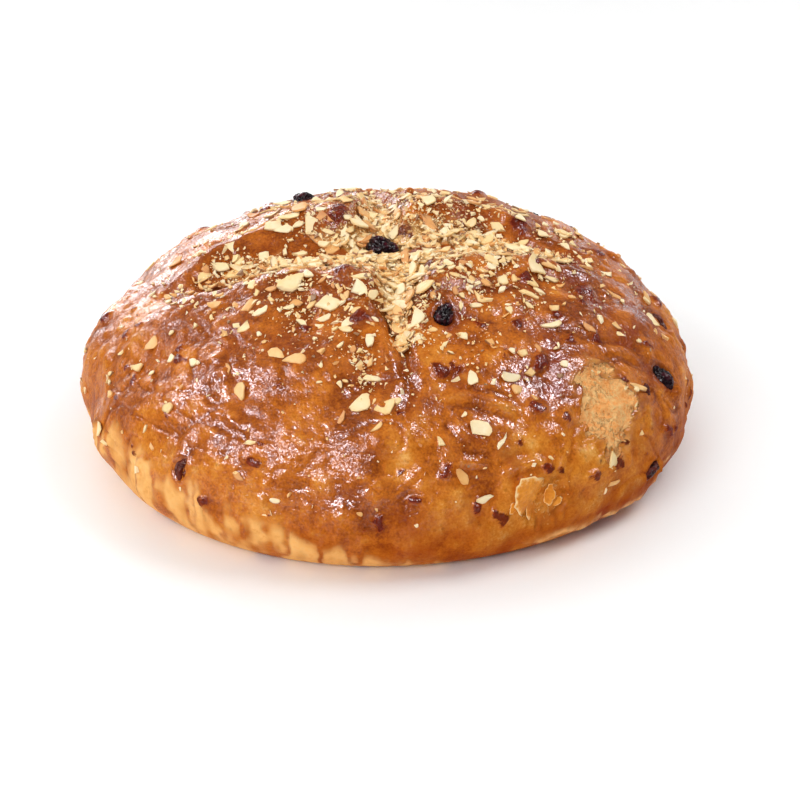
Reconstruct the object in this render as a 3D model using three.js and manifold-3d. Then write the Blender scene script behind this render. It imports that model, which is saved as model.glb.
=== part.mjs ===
// A round festive loaf: a domed sweet bread with a flat base, cut crosswise on top before baking, so that
// four lobes part around an open middle. Flaked almonds stick to the crust, thickest in the cuts, and raisins
// sit in pockets of it. Millimetres, +Z up, the origin at the middle of the base, the front towards -Y.
import * as THREE from "three";
import { mergeVertices } from "three/addons/utils/BufferGeometryUtils.js";
import Module from "manifold-3d";

const wasm = await Module();
wasm.setup();

// Driving dimensions of the loaf
const loafDiameter = 240;
const loafHeight = 85; // the dome's top before the cut opened it
const bellyHeight = 19; // where the loaf is widest
const footRadius = 99; // edge of the flat base
const footSpread = { bearing: -120, extra: 9 }; // the side on which the base reaches further out
const lean = { x: 3.5, y: 0 }; // how far the top stands off the middle of the base
const outlineWaves = [ // how far the round outline strays, as a share of the radius
  { turns: 2, share: 0.009, lead: 0.6 },
  { turns: 4, share: 0.005, lead: 2.1 },
];

// The cross cut on top: four arms from one middle, each narrowing to a crease
const cut = { x: 1, y: -10, depth: 12.5, creaseHalf: 2.2, lipHeight: 3.4, lipFrom: 13, waver: 1.4 };
const cutArms = [ // skew makes the slope on an arm's left gentler, bend turns its end to the left
  { name: "front", bearing: -86, length: 94, half: 18, narrowing: 2, skew: 0.3, bend: 0 },
  { name: "right", bearing: 10, length: 106, half: 24, narrowing: 1.1, skew: 0, bend: -17 },
  { name: "back", bearing: 97, length: 92, half: 14, narrowing: 1.3, skew: 0, bend: 0 },
  { name: "left", bearing: 185, length: 112, half: 24, narrowing: 1, skew: 0, bend: 0 },
];

// Unevenness of the baked crust: slow swells, lumps over hidden fruit, and places where the skin tore off
const swell = { height: 0.9, pitch: 62 };
const lumps = { count: 90, radius: [3.4, 6.2], height: [0.5, 1.7], seed: 41 };
const bulges = [ // a full shoulder on the left, then the fruit that stands out most under the skin
  { bearing: 182, drop: 75, radius: 25, height: 3 },
  { bearing: 155, drop: 11.4, radius: 8, height: 2.6 },
  { bearing: 49, drop: 3.5, radius: 6.5, height: 2.4 },
  { bearing: -115, drop: 21.2, radius: 7.5, height: 2.2 },
  { bearing: -66, drop: 14.2, radius: 6, height: 2 },
  { bearing: 14, drop: 24.8, radius: 6.5, height: 2 },
  { bearing: 12, drop: 44, radius: 6.5, height: 1.8 },
  { bearing: -60.5, drop: 59, radius: 6, height: 2 },
  { bearing: -55, drop: 63, radius: 5.5, height: 1.7 },
  { bearing: 95, drop: 58, radius: 6.5, height: 1.8 },
  { bearing: 150, drop: 48, radius: 6, height: 1.8 },
];
const tears = [
  { bearing: -45, drop: 66, radius: 15, depth: 1.5 },
  { bearing: -62, drop: 86, radius: 9, depth: 1.1 },
  { bearing: 148, drop: 70, radius: 13, depth: 1.4 },
];
const footBlend = [2, 15]; // heights over which the unevenness sets in above the flat base

// Facets of the crust
const loafSides = 90;
const domeRings = 24;
const ringCrowding = 1.35; // above 1 the rings lie closer together towards the top
const underRings = 4;

// Flaked almonds, the largest first
const flakes = {
  count: 96,
  seed: 7,
  length: [14, 5.2],
  lengthFall: 0.45, // how soon the lengths fall off after the first
  sideShare: 0.62, // of that length, where almonds lie thinly
  slimness: [0.36, 0.6],
  thickness: 1.5,
  sunk: 0.75,
  spacing: 0.45, // of the two lengths, between middles
  corners: 6,
  raggedness: 0.2,
  lowestDrop: 88, // degrees down from the top
};

// Raisins: bearing round the loaf, drop from the top, turn on the crust, size and how much of it is sunk
const raisinGap = 0.35;
const raisinFacets = { around: 12, along: 8 };
const raisinWrinkle = 0.07;
const raisins = [
  { name: "raisin_middle", bearing: -153, drop: 3.2, turn: 20, size: [15, 11, 11.5], sunk: 0.3 },
  { name: "raisin_front_lip", bearing: -73.8, drop: 31.5, turn: 62, size: [10.5, 7.4, 6.4], sunk: 0.48 },
  { name: "raisin_right_side", bearing: -23.5, drop: 68.5, turn: 105, size: [13, 7.6, 7], sunk: 0.7 },
  { name: "raisin_right_low", bearing: -32, drop: 67, turn: 60, size: [8.2, 7, 6], sunk: 0.74 },
  { name: "raisin_right_foot", bearing: -36.5, drop: 91, turn: 10, size: [10, 7, 6.4], sunk: 0.72 },
  { name: "raisin_right_brow", bearing: -6.5, drop: 61, turn: 75, size: [11, 7.4, 6.6], sunk: 0.76 },
  { name: "raisin_left_back", bearing: 122, drop: 36, turn: 15, size: [11, 8, 7], sunk: 0.62 },
  { name: "raisin_left_foot", bearing: -128.5, drop: 80, turn: 95, size: [8.6, 6.6, 6], sunk: 0.78 },
  { name: "raisin_back_right", bearing: 52, drop: 58, turn: 40, size: [11.5, 8, 7], sunk: 0.6 },
  { name: "raisin_back_left", bearing: 118, drop: 72, turn: 120, size: [10.5, 7.6, 6.8], sunk: 0.66 },
];

const weldDistance = 1e-3;
const crustColour = 0xb9691f;
const raisinColour = 0x1d1013;

const radius = loafDiameter / 2;
const domeRise = loafHeight - bellyHeight;
const rad = THREE.MathUtils.degToRad;
const smooth = (low, high, value) => THREE.MathUtils.smoothstep(value, low, high);
const mix = THREE.MathUtils.lerp;

// The same draws every time
function drawsFrom(seed) {
  let state = seed >>> 0;
  return () => {
    state = (Math.imul(state, 1664525) + 1013904223) >>> 0;
    return state / 2 ** 32;
  };
}

// Unit direction at a bearing round the loaf and a drop from the top, both in degrees
function towards(bearing, drop) {
  const flat = Math.sin(rad(drop));
  return new THREE.Vector3(flat * Math.cos(rad(bearing)), flat * Math.sin(rad(bearing)), Math.cos(rad(drop)));
}

function outlineAt(bearing) {
  return outlineWaves.reduce((sum, wave) => sum + wave.share * Math.cos(wave.turns * bearing + wave.lead), 1);
}

function footAt(bearing) {
  const share = 0.5 + 0.5 * Math.cos(bearing - rad(footSpread.bearing));
  return footRadius + footSpread.extra * share ** 1.5;
}

// The plain loaf without unevenness: an ellipsoid dome above the belly, a quarter round down to the foot below it
function plainPoint(direction) {
  const stretch = outlineAt(Math.atan2(direction.y, direction.x));
  if (direction.z >= 0)
    return new THREE.Vector3(
      direction.x * radius * stretch + lean.x * direction.z,
      direction.y * radius * stretch + lean.y * direction.z,
      bellyHeight + direction.z * domeRise,
    );
  const flat = Math.hypot(direction.x, direction.y);
  const foot = footAt(Math.atan2(direction.y, direction.x));
  const reach = (foot + (radius - foot) * flat) * stretch;
  return new THREE.Vector3(
    (direction.x / flat) * reach,
    (direction.y / flat) * reach,
    bellyHeight * (1 + direction.z),
  );
}

function plainNormal(direction) {
  if (direction.z >= 0)
    return new THREE.Vector3(direction.x / radius, direction.y / radius, direction.z / domeRise).normalize();
  const flat = Math.hypot(direction.x, direction.y);
  const outward = flat / (radius - footRadius);
  return new THREE.Vector3(
    (direction.x / flat) * outward,
    (direction.y / flat) * outward,
    direction.z / bellyHeight,
  ).normalize();
}

// How the cut sinks the crust, below zero, and raises lips beside it, above zero
function cutRelief(x, y) {
  const dx = x - cut.x + cut.waver * Math.sin(y / 11 + 0.8);
  const dy = y - cut.y + cut.waver * Math.sin(x / 13 + 2.3);
  let depth = 0;
  let lip = 0;
  for (const arm of cutArms) {
    const ahead = dx * Math.cos(rad(arm.bearing)) + dy * Math.sin(rad(arm.bearing));
    const along = Math.min(Math.max(ahead, 0) / arm.length, 1);
    const aside = dy * Math.cos(rad(arm.bearing)) - dx * Math.sin(rad(arm.bearing)) - arm.bend * along ** 4;
    const off = ahead > 0 ? Math.abs(aside) : Math.hypot(dx, dy);
    const open = (arm.half - cut.creaseHalf) * (1 - along) ** arm.narrowing;
    const half = (cut.creaseHalf + open) * (1 + arm.skew * Math.tanh(aside / arm.half));
    const fade = 1 - smooth(0.3, 1, along);
    depth = Math.max(depth, fade * (1 - smooth(0.2, 1.35, off / half)));
    const rolled = fade * smooth(cut.creaseHalf, cut.lipFrom, half);
    lip = Math.max(lip, rolled * Math.exp(-(((off / half - 1.45) / 0.5) ** 2)));
  }
  return cut.lipHeight * lip * (1 - depth) ** 2 - cut.depth * depth;
}

function swellRelief(point) {
  const wave = (2 * Math.PI) / swell.pitch;
  const mixed =
    Math.sin(wave * point.x + 1.1) * Math.cos(wave * 1.23 * point.y + 0.4) +
    0.7 * Math.sin(wave * 1.7 * point.y + wave * 0.9 * point.z + 2.2) +
    0.5 * Math.cos(wave * 2.1 * point.x - wave * 1.4 * point.z + 0.7);
  return swell.height * mixed;
}

function placeLumps() {
  const draw = drawsFrom(lumps.seed);
  const small = Array.from({ length: lumps.count }, () => ({
    middle: plainPoint(towards(360 * draw(), (180 / Math.PI) * Math.acos(mix(1, -0.15, draw())))),
    radius: mix(...lumps.radius, draw()),
    height: mix(...lumps.height, draw()),
  }));
  const large = bulges.map((bulge) => ({ ...bulge, middle: plainPoint(towards(bulge.bearing, bulge.drop)) }));
  return [...small, ...large];
}
const placedLumps = placeLumps();

function lumpRelief(point) {
  return placedLumps.reduce((sum, lump) => {
    const share = point.distanceTo(lump.middle) / lump.radius;
    return share < 1 ? sum + lump.height * (1 - share * share) ** 2 : sum;
  }, 0);
}

const placedTears = tears.map((tear) => ({ ...tear, middle: plainPoint(towards(tear.bearing, tear.drop)) }));

function tearRelief(point) {
  return placedTears.reduce(
    (sum, tear) => sum - tear.depth * (1 - smooth(0.72, 1, point.distanceTo(tear.middle) / tear.radius)),
    0,
  );
}

// A point of the baked crust
function crustPoint(direction) {
  const point = plainPoint(direction);
  const relief = cutRelief(point.x, point.y) + swellRelief(point) + lumpRelief(point) + tearRelief(point);
  const share = direction.z >= 0 ? 1 : smooth(...footBlend, point.z);
  return point.addScaledVector(plainNormal(direction), relief * share);
}

// A frame standing on the crust: its Z along the crust's normal, its X at a turn round it, in degrees
function crustFrame(direction, turn) {
  const step = 0.01;
  const side = new THREE.Vector3(-direction.y, direction.x, 0);
  if (side.lengthSq() < 1e-6) side.set(1, 0, 0);
  side.normalize();
  const rise = new THREE.Vector3().crossVectors(direction, side);
  const at = (axis, by) => crustPoint(direction.clone().addScaledVector(axis, by).normalize());
  const alongSide = at(side, step).sub(at(side, -step));
  const alongRise = at(rise, step).sub(at(rise, -step));
  const normal = new THREE.Vector3().crossVectors(alongSide, alongRise).normalize();
  const ahead = alongSide.normalize().applyAxisAngle(normal, rad(turn));
  const across = new THREE.Vector3().crossVectors(normal, ahead);
  return new THREE.Matrix4().makeBasis(ahead, across, normal).setPosition(crustPoint(direction));
}

// A closed geometry as a solid, and back
function toSolid(geometry) {
  const bare = geometry.clone();
  bare.deleteAttribute("normal");
  bare.deleteAttribute("uv");
  const merged = mergeVertices(bare, weldDistance);
  return new wasm.Manifold(
    new wasm.Mesh({
      numProp: 3,
      vertProperties: Float32Array.from(merged.attributes.position.array),
      triVerts: Uint32Array.from(merged.index.array),
    }),
  );
}

function toGeometry(solid) {
  const mesh = solid.getMesh();
  const geometry = new THREE.BufferGeometry();
  geometry.setAttribute("position", new THREE.BufferAttribute(Float32Array.from(mesh.vertProperties), 3));
  geometry.setIndex(new THREE.BufferAttribute(Uint32Array.from(mesh.triVerts), 1));
  geometry.computeVertexNormals();
  return geometry;
}

// The largest body of a solid, without scraps and with any sealed hollow filled
function mainBody(solid) {
  return solid.decompose().sort((a, b) => b.volume() - a.volume())[0];
}

// A direction on the dome moved so that the rings of facets close in on the middle of the cut
function drawnToCut(direction) {
  const share = (1 - Math.hypot(direction.x, direction.y)) / radius;
  const x = direction.x + cut.x * share;
  const y = direction.y + cut.y * share;
  return new THREE.Vector3(x, y, Math.sqrt(Math.max(1 - x * x - y * y, 0)));
}

// The crust: a lathe of the plain profile whose points then move to the baked surface
function makeCrust() {
  const profile = [new THREE.Vector2(0, 0)];
  for (let ring = underRings; ring > 0; ring--) {
    const angle = (ring / underRings) * (Math.PI / 2);
    profile.push(
      new THREE.Vector2(
        footRadius + (radius - footRadius) * Math.cos(angle),
        bellyHeight * (1 - Math.sin(angle)),
      ),
    );
  }
  for (let ring = 0; ring < domeRings; ring++) {
    const angle = (1 - (1 - ring / domeRings) ** ringCrowding) * (Math.PI / 2);
    profile.push(new THREE.Vector2(radius * Math.cos(angle), bellyHeight + domeRise * Math.sin(angle)));
  }
  profile.push(new THREE.Vector2(0, loafHeight));
  const geometry = new THREE.LatheGeometry(profile, loafSides);
  geometry.rotateX(Math.PI / 2);
  const places = geometry.attributes.position;
  const point = new THREE.Vector3();
  for (let i = 0; i < places.count; i++) {
    point.fromBufferAttribute(places, i);
    const flat = Math.hypot(point.x, point.y);
    if (point.z < weldDistance && flat < footRadius / 2) continue;
    const up = point.z >= bellyHeight ? (point.z - bellyHeight) / domeRise : point.z / bellyHeight - 1;
    const out = Math.sqrt(Math.max(1 - up * up, 0));
    const bearing = Math.atan2(point.y, point.x);
    const direction = new THREE.Vector3(out * Math.cos(bearing), out * Math.sin(bearing), up);
    if (up > 0) direction.copy(drawnToCut(direction));
    if (point.z < weldDistance) {
      const reach = footAt(bearing) * outlineAt(bearing);
      places.setXYZ(i, reach * Math.cos(bearing), reach * Math.sin(bearing), 0);
    } else places.setXYZ(i, ...crustPoint(direction));
  }
  // Each pair of facets splits along its shorter diagonal, which keeps the walls of the cut smooth
  const corners = geometry.index;
  const spot = (i) => new THREE.Vector3().fromBufferAttribute(places, i);
  for (let i = 0; i < corners.count; i += 6) {
    const [a, b, d, c] = [0, 1, 2, 3].map((k) => corners.getX(i + k));
    if (spot(a).distanceTo(spot(c)) < spot(b).distanceTo(spot(d)))
      [a, b, c, a, c, d].forEach((corner, k) => corners.setX(i + k, corner));
  }
  return toSolid(geometry);
}

// One raisin: a wrinkled egg, grown all round by a margin when it cuts its own pocket
function makeRaisin(raisin, margin) {
  const geometry = new THREE.SphereGeometry(1, raisinFacets.around, raisinFacets.along);
  const places = geometry.attributes.position;
  const point = new THREE.Vector3();
  for (let i = 0; i < places.count; i++) {
    point.fromBufferAttribute(places, i);
    const fold = Math.sin(5 * Math.atan2(point.z, point.x)) * (1 - point.y * point.y);
    const swollen = 1 + raisinWrinkle * fold;
    places.setXYZ(
      i,
      point.y * (raisin.size[0] / 2 + margin),
      point.x * (raisin.size[1] / 2 + margin) * swollen,
      -point.z * (raisin.size[2] / 2 + margin) * swollen,
    );
  }
  const lift = raisin.size[2] * (0.5 - raisin.sunk);
  geometry.translate(0, 0, lift);
  geometry.applyMatrix4(crustFrame(towards(raisin.bearing, raisin.drop), raisin.turn));
  return geometry;
}

// How thickly the almonds lie: most in the middle and the cuts, few on the sides
function almondCover(point) {
  const fromMiddle = Math.hypot(point.x - cut.x, point.y - cut.y) / radius;
  const inCut = Math.max(-cutRelief(point.x, point.y) / cut.depth, 0);
  return 0.02 + 0.7 * Math.exp(-((fromMiddle / 0.47) ** 2)) + 0.3 * inCut;
}

function placeFlakes() {
  const draw = drawsFrom(flakes.seed);
  const placed = [];
  const lowest = Math.cos(rad(flakes.lowestDrop));
  while (placed.length < flakes.count) {
    const bearing = 360 * draw();
    const drop = (180 / Math.PI) * Math.acos(mix(1, lowest, draw()));
    const chance = draw();
    const slimness = mix(...flakes.slimness, draw());
    const turn = 360 * draw();
    const cornerSeed = Math.floor(draw() * 1e6);
    const direction = towards(bearing, drop);
    const cover = almondCover(plainPoint(direction));
    if (chance > cover) continue;
    const point = crustPoint(direction);
    const ranked = mix(...flakes.length, (placed.length / flakes.count) ** flakes.lengthFall);
    const length = ranked * mix(flakes.sideShare, 1, Math.min(cover / 0.4, 1));
    const crowded = placed.some(
      (other) => point.distanceTo(other.point) < flakes.spacing * (length + other.length),
    );
    const onRaisin = placedRaisins.some((other) => point.distanceTo(other.point) < length / 2 + other.reach);
    if (crowded || onRaisin) continue;
    placed.push({ point, bearing, drop, length, slimness, turn, cornerSeed });
  }
  return placed;
}

// One flake: a thin slice of almond with a broken outline, pressed into the crust
function makeFlake(flake) {
  const draw = drawsFrom(flake.cornerSeed);
  const corners = Array.from({ length: flakes.corners }, (_, i) => {
    const angle = (2 * Math.PI * i) / flakes.corners;
    const reach = 1 - flakes.raggedness * draw();
    return new THREE.Vector2(
      (flake.length / 2) * reach * Math.cos(angle),
      (flake.length / 2) * flake.slimness * reach * Math.sin(angle),
    );
  });
  const geometry = new THREE.ExtrudeGeometry(new THREE.Shape(corners), {
    depth: flakes.thickness,
    bevelEnabled: false,
  });
  geometry.translate(0, 0, -flakes.sunk);
  geometry.applyMatrix4(crustFrame(towards(flake.bearing, flake.drop), flake.turn));
  return toSolid(geometry);
}

const placedRaisins = raisins.map((raisin) => ({
  point: crustPoint(towards(raisin.bearing, raisin.drop)),
  reach: raisin.size[0] / 2 + 1,
}));

let bread = makeCrust();
for (const flake of placeFlakes()) bread = bread.add(makeFlake(flake));
for (const raisin of raisins) bread = bread.subtract(toSolid(makeRaisin(raisin, raisinGap)));

const crustLook = new THREE.MeshStandardMaterial({ color: crustColour, roughness: 0.35, metalness: 0 });
const raisinLook = new THREE.MeshStandardMaterial({ color: raisinColour, roughness: 0.4, metalness: 0 });

const loaf = new THREE.Group();
const breadMesh = new THREE.Mesh(toGeometry(mainBody(bread)), crustLook);
breadMesh.name = "bread";
loaf.add(breadMesh);
for (const raisin of raisins) {
  const mesh = new THREE.Mesh(makeRaisin(raisin, 0), raisinLook);
  mesh.name = raisin.name;
  loaf.add(mesh);
}

export default loaf;
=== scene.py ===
import itertools
import math

import bmesh
import bpy
import numpy as np
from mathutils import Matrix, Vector


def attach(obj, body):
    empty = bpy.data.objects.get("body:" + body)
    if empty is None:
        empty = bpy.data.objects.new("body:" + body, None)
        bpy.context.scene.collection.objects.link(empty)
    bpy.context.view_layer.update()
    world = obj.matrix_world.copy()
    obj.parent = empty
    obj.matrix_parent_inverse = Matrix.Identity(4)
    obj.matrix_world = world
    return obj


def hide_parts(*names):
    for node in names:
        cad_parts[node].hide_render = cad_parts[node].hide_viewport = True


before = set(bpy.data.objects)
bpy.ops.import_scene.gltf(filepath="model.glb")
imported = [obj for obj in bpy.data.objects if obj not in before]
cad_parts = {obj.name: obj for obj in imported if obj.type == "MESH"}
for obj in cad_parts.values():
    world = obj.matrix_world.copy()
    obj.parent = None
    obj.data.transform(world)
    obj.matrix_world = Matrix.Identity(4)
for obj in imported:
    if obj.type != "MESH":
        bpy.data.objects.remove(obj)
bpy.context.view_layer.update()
print("frame loaded:", len(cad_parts), "nodes")

mm = 0.001  # the bread is worked out in millimetres, the stage and its lamps in metres
allBits = 2**32 - 1  # random whole numbers wrap round here
stepping = dict(factor=1664525, extra=1013904223)  # from one draw to the next, as for the solids
scramble = dict(  # turns the corners of the noise's cells into random heights
    axes=(374761393, 668265263, 1440662683), seed=974711, mixing=1274126177, shift=7.313,
)


# small helpers
def smooth(low, high, value):
    t = np.clip((value - low) / (high - low), 0.0, 1.0)
    return t * t * (3.0 - 2.0 * t)


def hump(off, width):
    # 1 in the middle, falling off on both sides
    return np.exp(-((off / width) ** 2))


def facing(bearing, middle, focus):
    # 1 on the side of the loaf that a bearing names, 0 on the far side
    return (0.5 + 0.5 * np.cos(bearing - math.radians(middle))) ** focus


def drawsFrom(seed):
    # the same plain generator as the solids use, so that the flakes land in the same places
    state = seed & allBits

    def draw(low=0.0, high=1.0):
        nonlocal state
        state = (state * stepping["factor"] + stepping["extra"]) & allBits
        return low + (high - low) * state / (allBits + 1)

    return draw


def unit(vectors):
    return vectors / np.maximum(np.linalg.norm(vectors, axis=-1, keepdims=True), 1e-12)


def swells(points, size, seed):
    # smooth noise from -1 to 1, one swell about as wide as size
    q = points / size + seed * scramble["shift"]
    cell = np.floor(q).astype(np.int64)
    t = q - cell
    t = t * t * t * (t * (6.0 * t - 15.0) + 10.0)
    total = np.zeros(len(points))
    for corner in itertools.product((0, 1), repeat=3):
        key = ((cell + corner) @ np.array(scramble["axes"]) + seed * scramble["seed"]) & allBits
        key = ((key ^ (key >> 13)) * scramble["mixing"]) & allBits
        key = key ^ (key >> 16)
        weight = np.prod(np.where(corner, t, 1.0 - t), axis=1)
        total += weight * (key / 2.0**31 - 1.0)
    return total


def layered(points, size, seed, layers=3, fall=0.5):
    return sum(fall**k * swells(points, size / 2.1**k, seed + k) for k in range(layers))


def srgb(red, green, blue):
    shares = (red / 255, green / 255, blue / 255)
    return tuple(c / 12.92 if c <= 0.04045 else ((c + 0.055) / 1.055) ** 2.4 for c in shares) + (1.0,)


# the loaf's form, the same as in the solids
loaf = dict(
    radius=120.0, height=85.0, bellyHeight=19.0, footRadius=99.0,
    footSide=(-120.0, 1.5), footExtra=9.0,  # bearing and focus of the side where the foot reaches further out
    footBlend=(2.0, 15.0), lean=3.5,
    waves=((2, 0.009, 0.6), (4, 0.005, 2.1)),  # turns, share of the radius, lead
    swellHeight=0.9, swellPitch=62.0,
)
cut = dict(
    x=1.0, y=-10.0, depth=12.5, creaseHalf=2.2, lipHeight=3.4, lipFrom=13.0,
    waver=1.4, waverX=(11.0, 0.8), waverY=(13.0, 2.3),  # pitch and lead
    fade=(0.3, 1.0), slope=(0.2, 1.35), lipAt=1.45, lipWidth=0.5,  # shares of an arm's length and half width
    arms=(  # bearing, length, half, narrowing, skew, bend
        (-86, 94, 18, 2.0, 0.3, 0.0), (10, 106, 24, 1.1, 0.0, -17.0),
        (97, 92, 14, 1.3, 0.0, 0.0), (185, 112, 24, 1.0, 0.0, 0.0),
    ),
)
lumps = dict(count=90, radius=(3.4, 6.2), height=(0.5, 1.7), up=(1.0, -0.15), seed=41)
shoulder = (182, 75, 25, 3.0)  # bearing, drop, radius, height
bulges = (  # fruit that stands out most under the skin: bearing, drop, radius, height
    (155, 11.4, 8, 2.6), (49, 3.5, 6.5, 2.4), (-115, 21.2, 7.5, 2.2), (-66, 14.2, 6, 2.0),
    (14, 24.8, 6.5, 2.0), (12, 44, 6.5, 1.8), (-60.5, 59, 6, 2.0), (-55, 63, 5.5, 1.7),
    (95, 58, 6.5, 1.8), (150, 48, 6, 1.8),
)
tears = ((-45, 66, 15, 1.5), (-62, 86, 9, 1.1), (148, 70, 13, 1.4))  # bearing, drop, radius, depth
tearEdge = (0.72, 1.0)  # shares of the radius between which the skin drops
domeRise = loaf["height"] - loaf["bellyHeight"]


def towards(bearing, drop):
    bearing, drop = np.radians(bearing), np.radians(drop)
    flat = np.sin(drop)
    return np.stack([flat * np.cos(bearing), flat * np.sin(bearing), np.cos(drop) + 0.0 * bearing], -1)


def plainPoint(bearing, up):
    stretch = 1.0 + sum(share * np.cos(turns * bearing + lead) for turns, share, lead in loaf["waves"])
    flat = np.sqrt(np.maximum(1.0 - up * up, 0.0))
    foot = loaf["footRadius"] + loaf["footExtra"] * facing(bearing, *loaf["footSide"])
    reach = np.where(up >= 0, loaf["radius"] * flat, foot + (loaf["radius"] - foot) * flat) * stretch
    x = reach * np.cos(bearing) + loaf["lean"] * np.maximum(up, 0.0)
    z = loaf["bellyHeight"] + np.where(up >= 0, up * domeRise, up * loaf["bellyHeight"])
    return np.stack([x, reach * np.sin(bearing), z], -1)


def plainNormal(bearing, up):
    flat = np.sqrt(np.maximum(1.0 - up * up, 0.0))
    outward = np.where(up >= 0, flat / loaf["radius"], flat / (loaf["radius"] - loaf["footRadius"]))
    upward = np.where(up >= 0, up / domeRise, up / loaf["bellyHeight"])
    return unit(np.stack([outward * np.cos(bearing), outward * np.sin(bearing), upward], -1))


def plainSpot(bearing, drop):
    # the plain loaf's point at a bearing and a drop from the top, both in degrees
    return plainPoint(np.radians(bearing), np.cos(np.radians(drop)))


def cutShare(points):
    # how deep a point lies in the cross cut, 0 to 1, and how high on a lip
    (pitchX, leadX), (pitchY, leadY) = cut["waverX"], cut["waverY"]
    dx = points[:, 0] - cut["x"] + cut["waver"] * np.sin(points[:, 1] / pitchX + leadX)
    dy = points[:, 1] - cut["y"] + cut["waver"] * np.sin(points[:, 0] / pitchY + leadY)
    depth, lip = np.zeros(len(points)), np.zeros(len(points))
    for bearing, length, arm, narrowing, skew, bend in cut["arms"]:
        c, s = math.cos(math.radians(bearing)), math.sin(math.radians(bearing))
        ahead = dx * c + dy * s
        along = np.clip(ahead / length, 0.0, 1.0)
        aside = dy * c - dx * s - bend * along**4
        off = np.where(ahead > 0, np.abs(aside), np.hypot(dx, dy))
        opening = (arm - cut["creaseHalf"]) * (1.0 - along) ** narrowing
        half = (cut["creaseHalf"] + opening) * (1.0 + skew * np.tanh(aside / arm))
        fade = 1.0 - smooth(*cut["fade"], along)
        depth = np.maximum(depth, fade * (1.0 - smooth(*cut["slope"], off / half)))
        rolled = fade * smooth(cut["creaseHalf"], cut["lipFrom"], half)
        lip = np.maximum(lip, rolled * hump(off / half - cut["lipAt"], cut["lipWidth"]))
    return depth, lip


def swellRelief(points):
    w = 2.0 * math.pi / loaf["swellPitch"]
    x, y, z = points.T
    mixed = np.sin(w * x + 1.1) * np.cos(w * 1.23 * y + 0.4)
    mixed += 0.7 * np.sin(w * 1.7 * y + w * 0.9 * z + 2.2)
    mixed += 0.5 * np.cos(w * 2.1 * x - w * 1.4 * z + 0.7)
    return loaf["swellHeight"] * mixed


def placeLumps():
    draw = drawsFrom(lumps["seed"])
    placed = []
    for _ in range(lumps["count"]):
        bearing, up = 2.0 * math.pi * draw(), draw(*lumps["up"])
        middle = plainPoint(np.array(bearing), np.array(up))
        placed.append((middle, draw(*lumps["radius"]), draw(*lumps["height"])))
    return placed + [(plainSpot(b, d), radius, height) for b, d, radius, height in (shoulder, *bulges)]


placedLumps = placeLumps()
placedTears = [(plainSpot(b, d), radius, depth) for b, d, radius, depth in tears]


def moundShare(points, middle, radius):
    share = np.linalg.norm(points - middle, axis=-1) / radius
    return np.maximum(1.0 - share * share, 0.0) ** 2


def openRelief(points, depth, lip):
    # cut, lips, swells and lumps, without the torn places
    relief = cut["lipHeight"] * lip * (1.0 - depth) ** 2 - cut["depth"] * depth + swellRelief(points)
    for middle, radius, height in placedLumps:
        relief = relief + height * moundShare(points, middle, radius)
    return relief


def bakedRelief(points):
    relief = openRelief(points, *cutShare(points))
    for middle, radius, sunk in placedTears:
        reach = np.linalg.norm(points - middle, axis=-1) / radius
        relief = relief - sunk * (1.0 - smooth(*tearEdge, reach))
    return relief


def crustPoint(directions):
    bearing, up = np.arctan2(directions[:, 1], directions[:, 0]), directions[:, 2]
    points = plainPoint(bearing, up)
    share = np.where(up >= 0, 1.0, smooth(*loaf["footBlend"], points[:, 2]))
    return points + plainNormal(bearing, up) * (bakedRelief(points) * share)[:, None]


def crustSpot(bearing, drop):
    return crustPoint(towards(np.array([bearing]), np.array([drop])))[0]


def crustFrame(directions, turn, step=0.01):
    # ahead, across, normal and place of pieces that lie on the crust
    side = np.stack([-directions[:, 1], directions[:, 0], np.zeros(len(directions))], -1)
    side = unit(np.where(np.linalg.norm(side, axis=1, keepdims=True) < 1e-3, [1.0, 0.0, 0.0], side))
    rise = np.cross(directions, side)

    def along(axis):
        return crustPoint(unit(directions + step * axis)) - crustPoint(unit(directions - step * axis))

    first = along(side)
    normal = unit(np.cross(first, along(rise)))
    first = unit(first)
    turn = np.radians(turn)[:, None]
    ahead = first * np.cos(turn) + np.cross(normal, first) * np.sin(turn)
    return ahead, np.cross(normal, ahead), normal, crustPoint(directions)


def frameAt(bearing, drop, turn):
    rows = crustFrame(towards(np.array([bearing]), np.array([drop])), np.array([turn]))
    return tuple(row[0] for row in rows)


def setDown(local, place, axes):
    # a body's own points, put down at a place on the crust
    ahead, across, normal = axes
    return place + local[:, :1] * ahead + local[:, 1:2] * across + local[:, 2:] * normal


# meshes from arrays
def meshPiece(name, points, faces, masks=None, flat=False):
    mesh = bpy.data.meshes.new(name)
    sizes = np.array([len(face) for face in faces])
    corners = np.concatenate(faces)
    mesh.vertices.add(len(points))
    mesh.vertices.foreach_set("co", (np.asarray(points) * mm).astype(np.float32).ravel())
    mesh.loops.add(len(corners))
    mesh.loops.foreach_set("vertex_index", corners.astype(np.int32))
    mesh.polygons.add(len(sizes))
    mesh.polygons.foreach_set("loop_start", np.concatenate([[0], np.cumsum(sizes)[:-1]]).astype(np.int32))
    mesh.update(calc_edges=True)
    for key, values in (masks or {}).items():
        mesh.attributes.new(key, "FLOAT", "POINT").data.foreach_set("value", np.asarray(values, np.float32))
    mesh.polygons.foreach_set("use_smooth", np.full(len(sizes), not flat))
    mesh.validate()
    piece = bpy.data.objects.new(name, mesh)
    bpy.context.scene.collection.objects.link(piece)
    return piece


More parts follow.
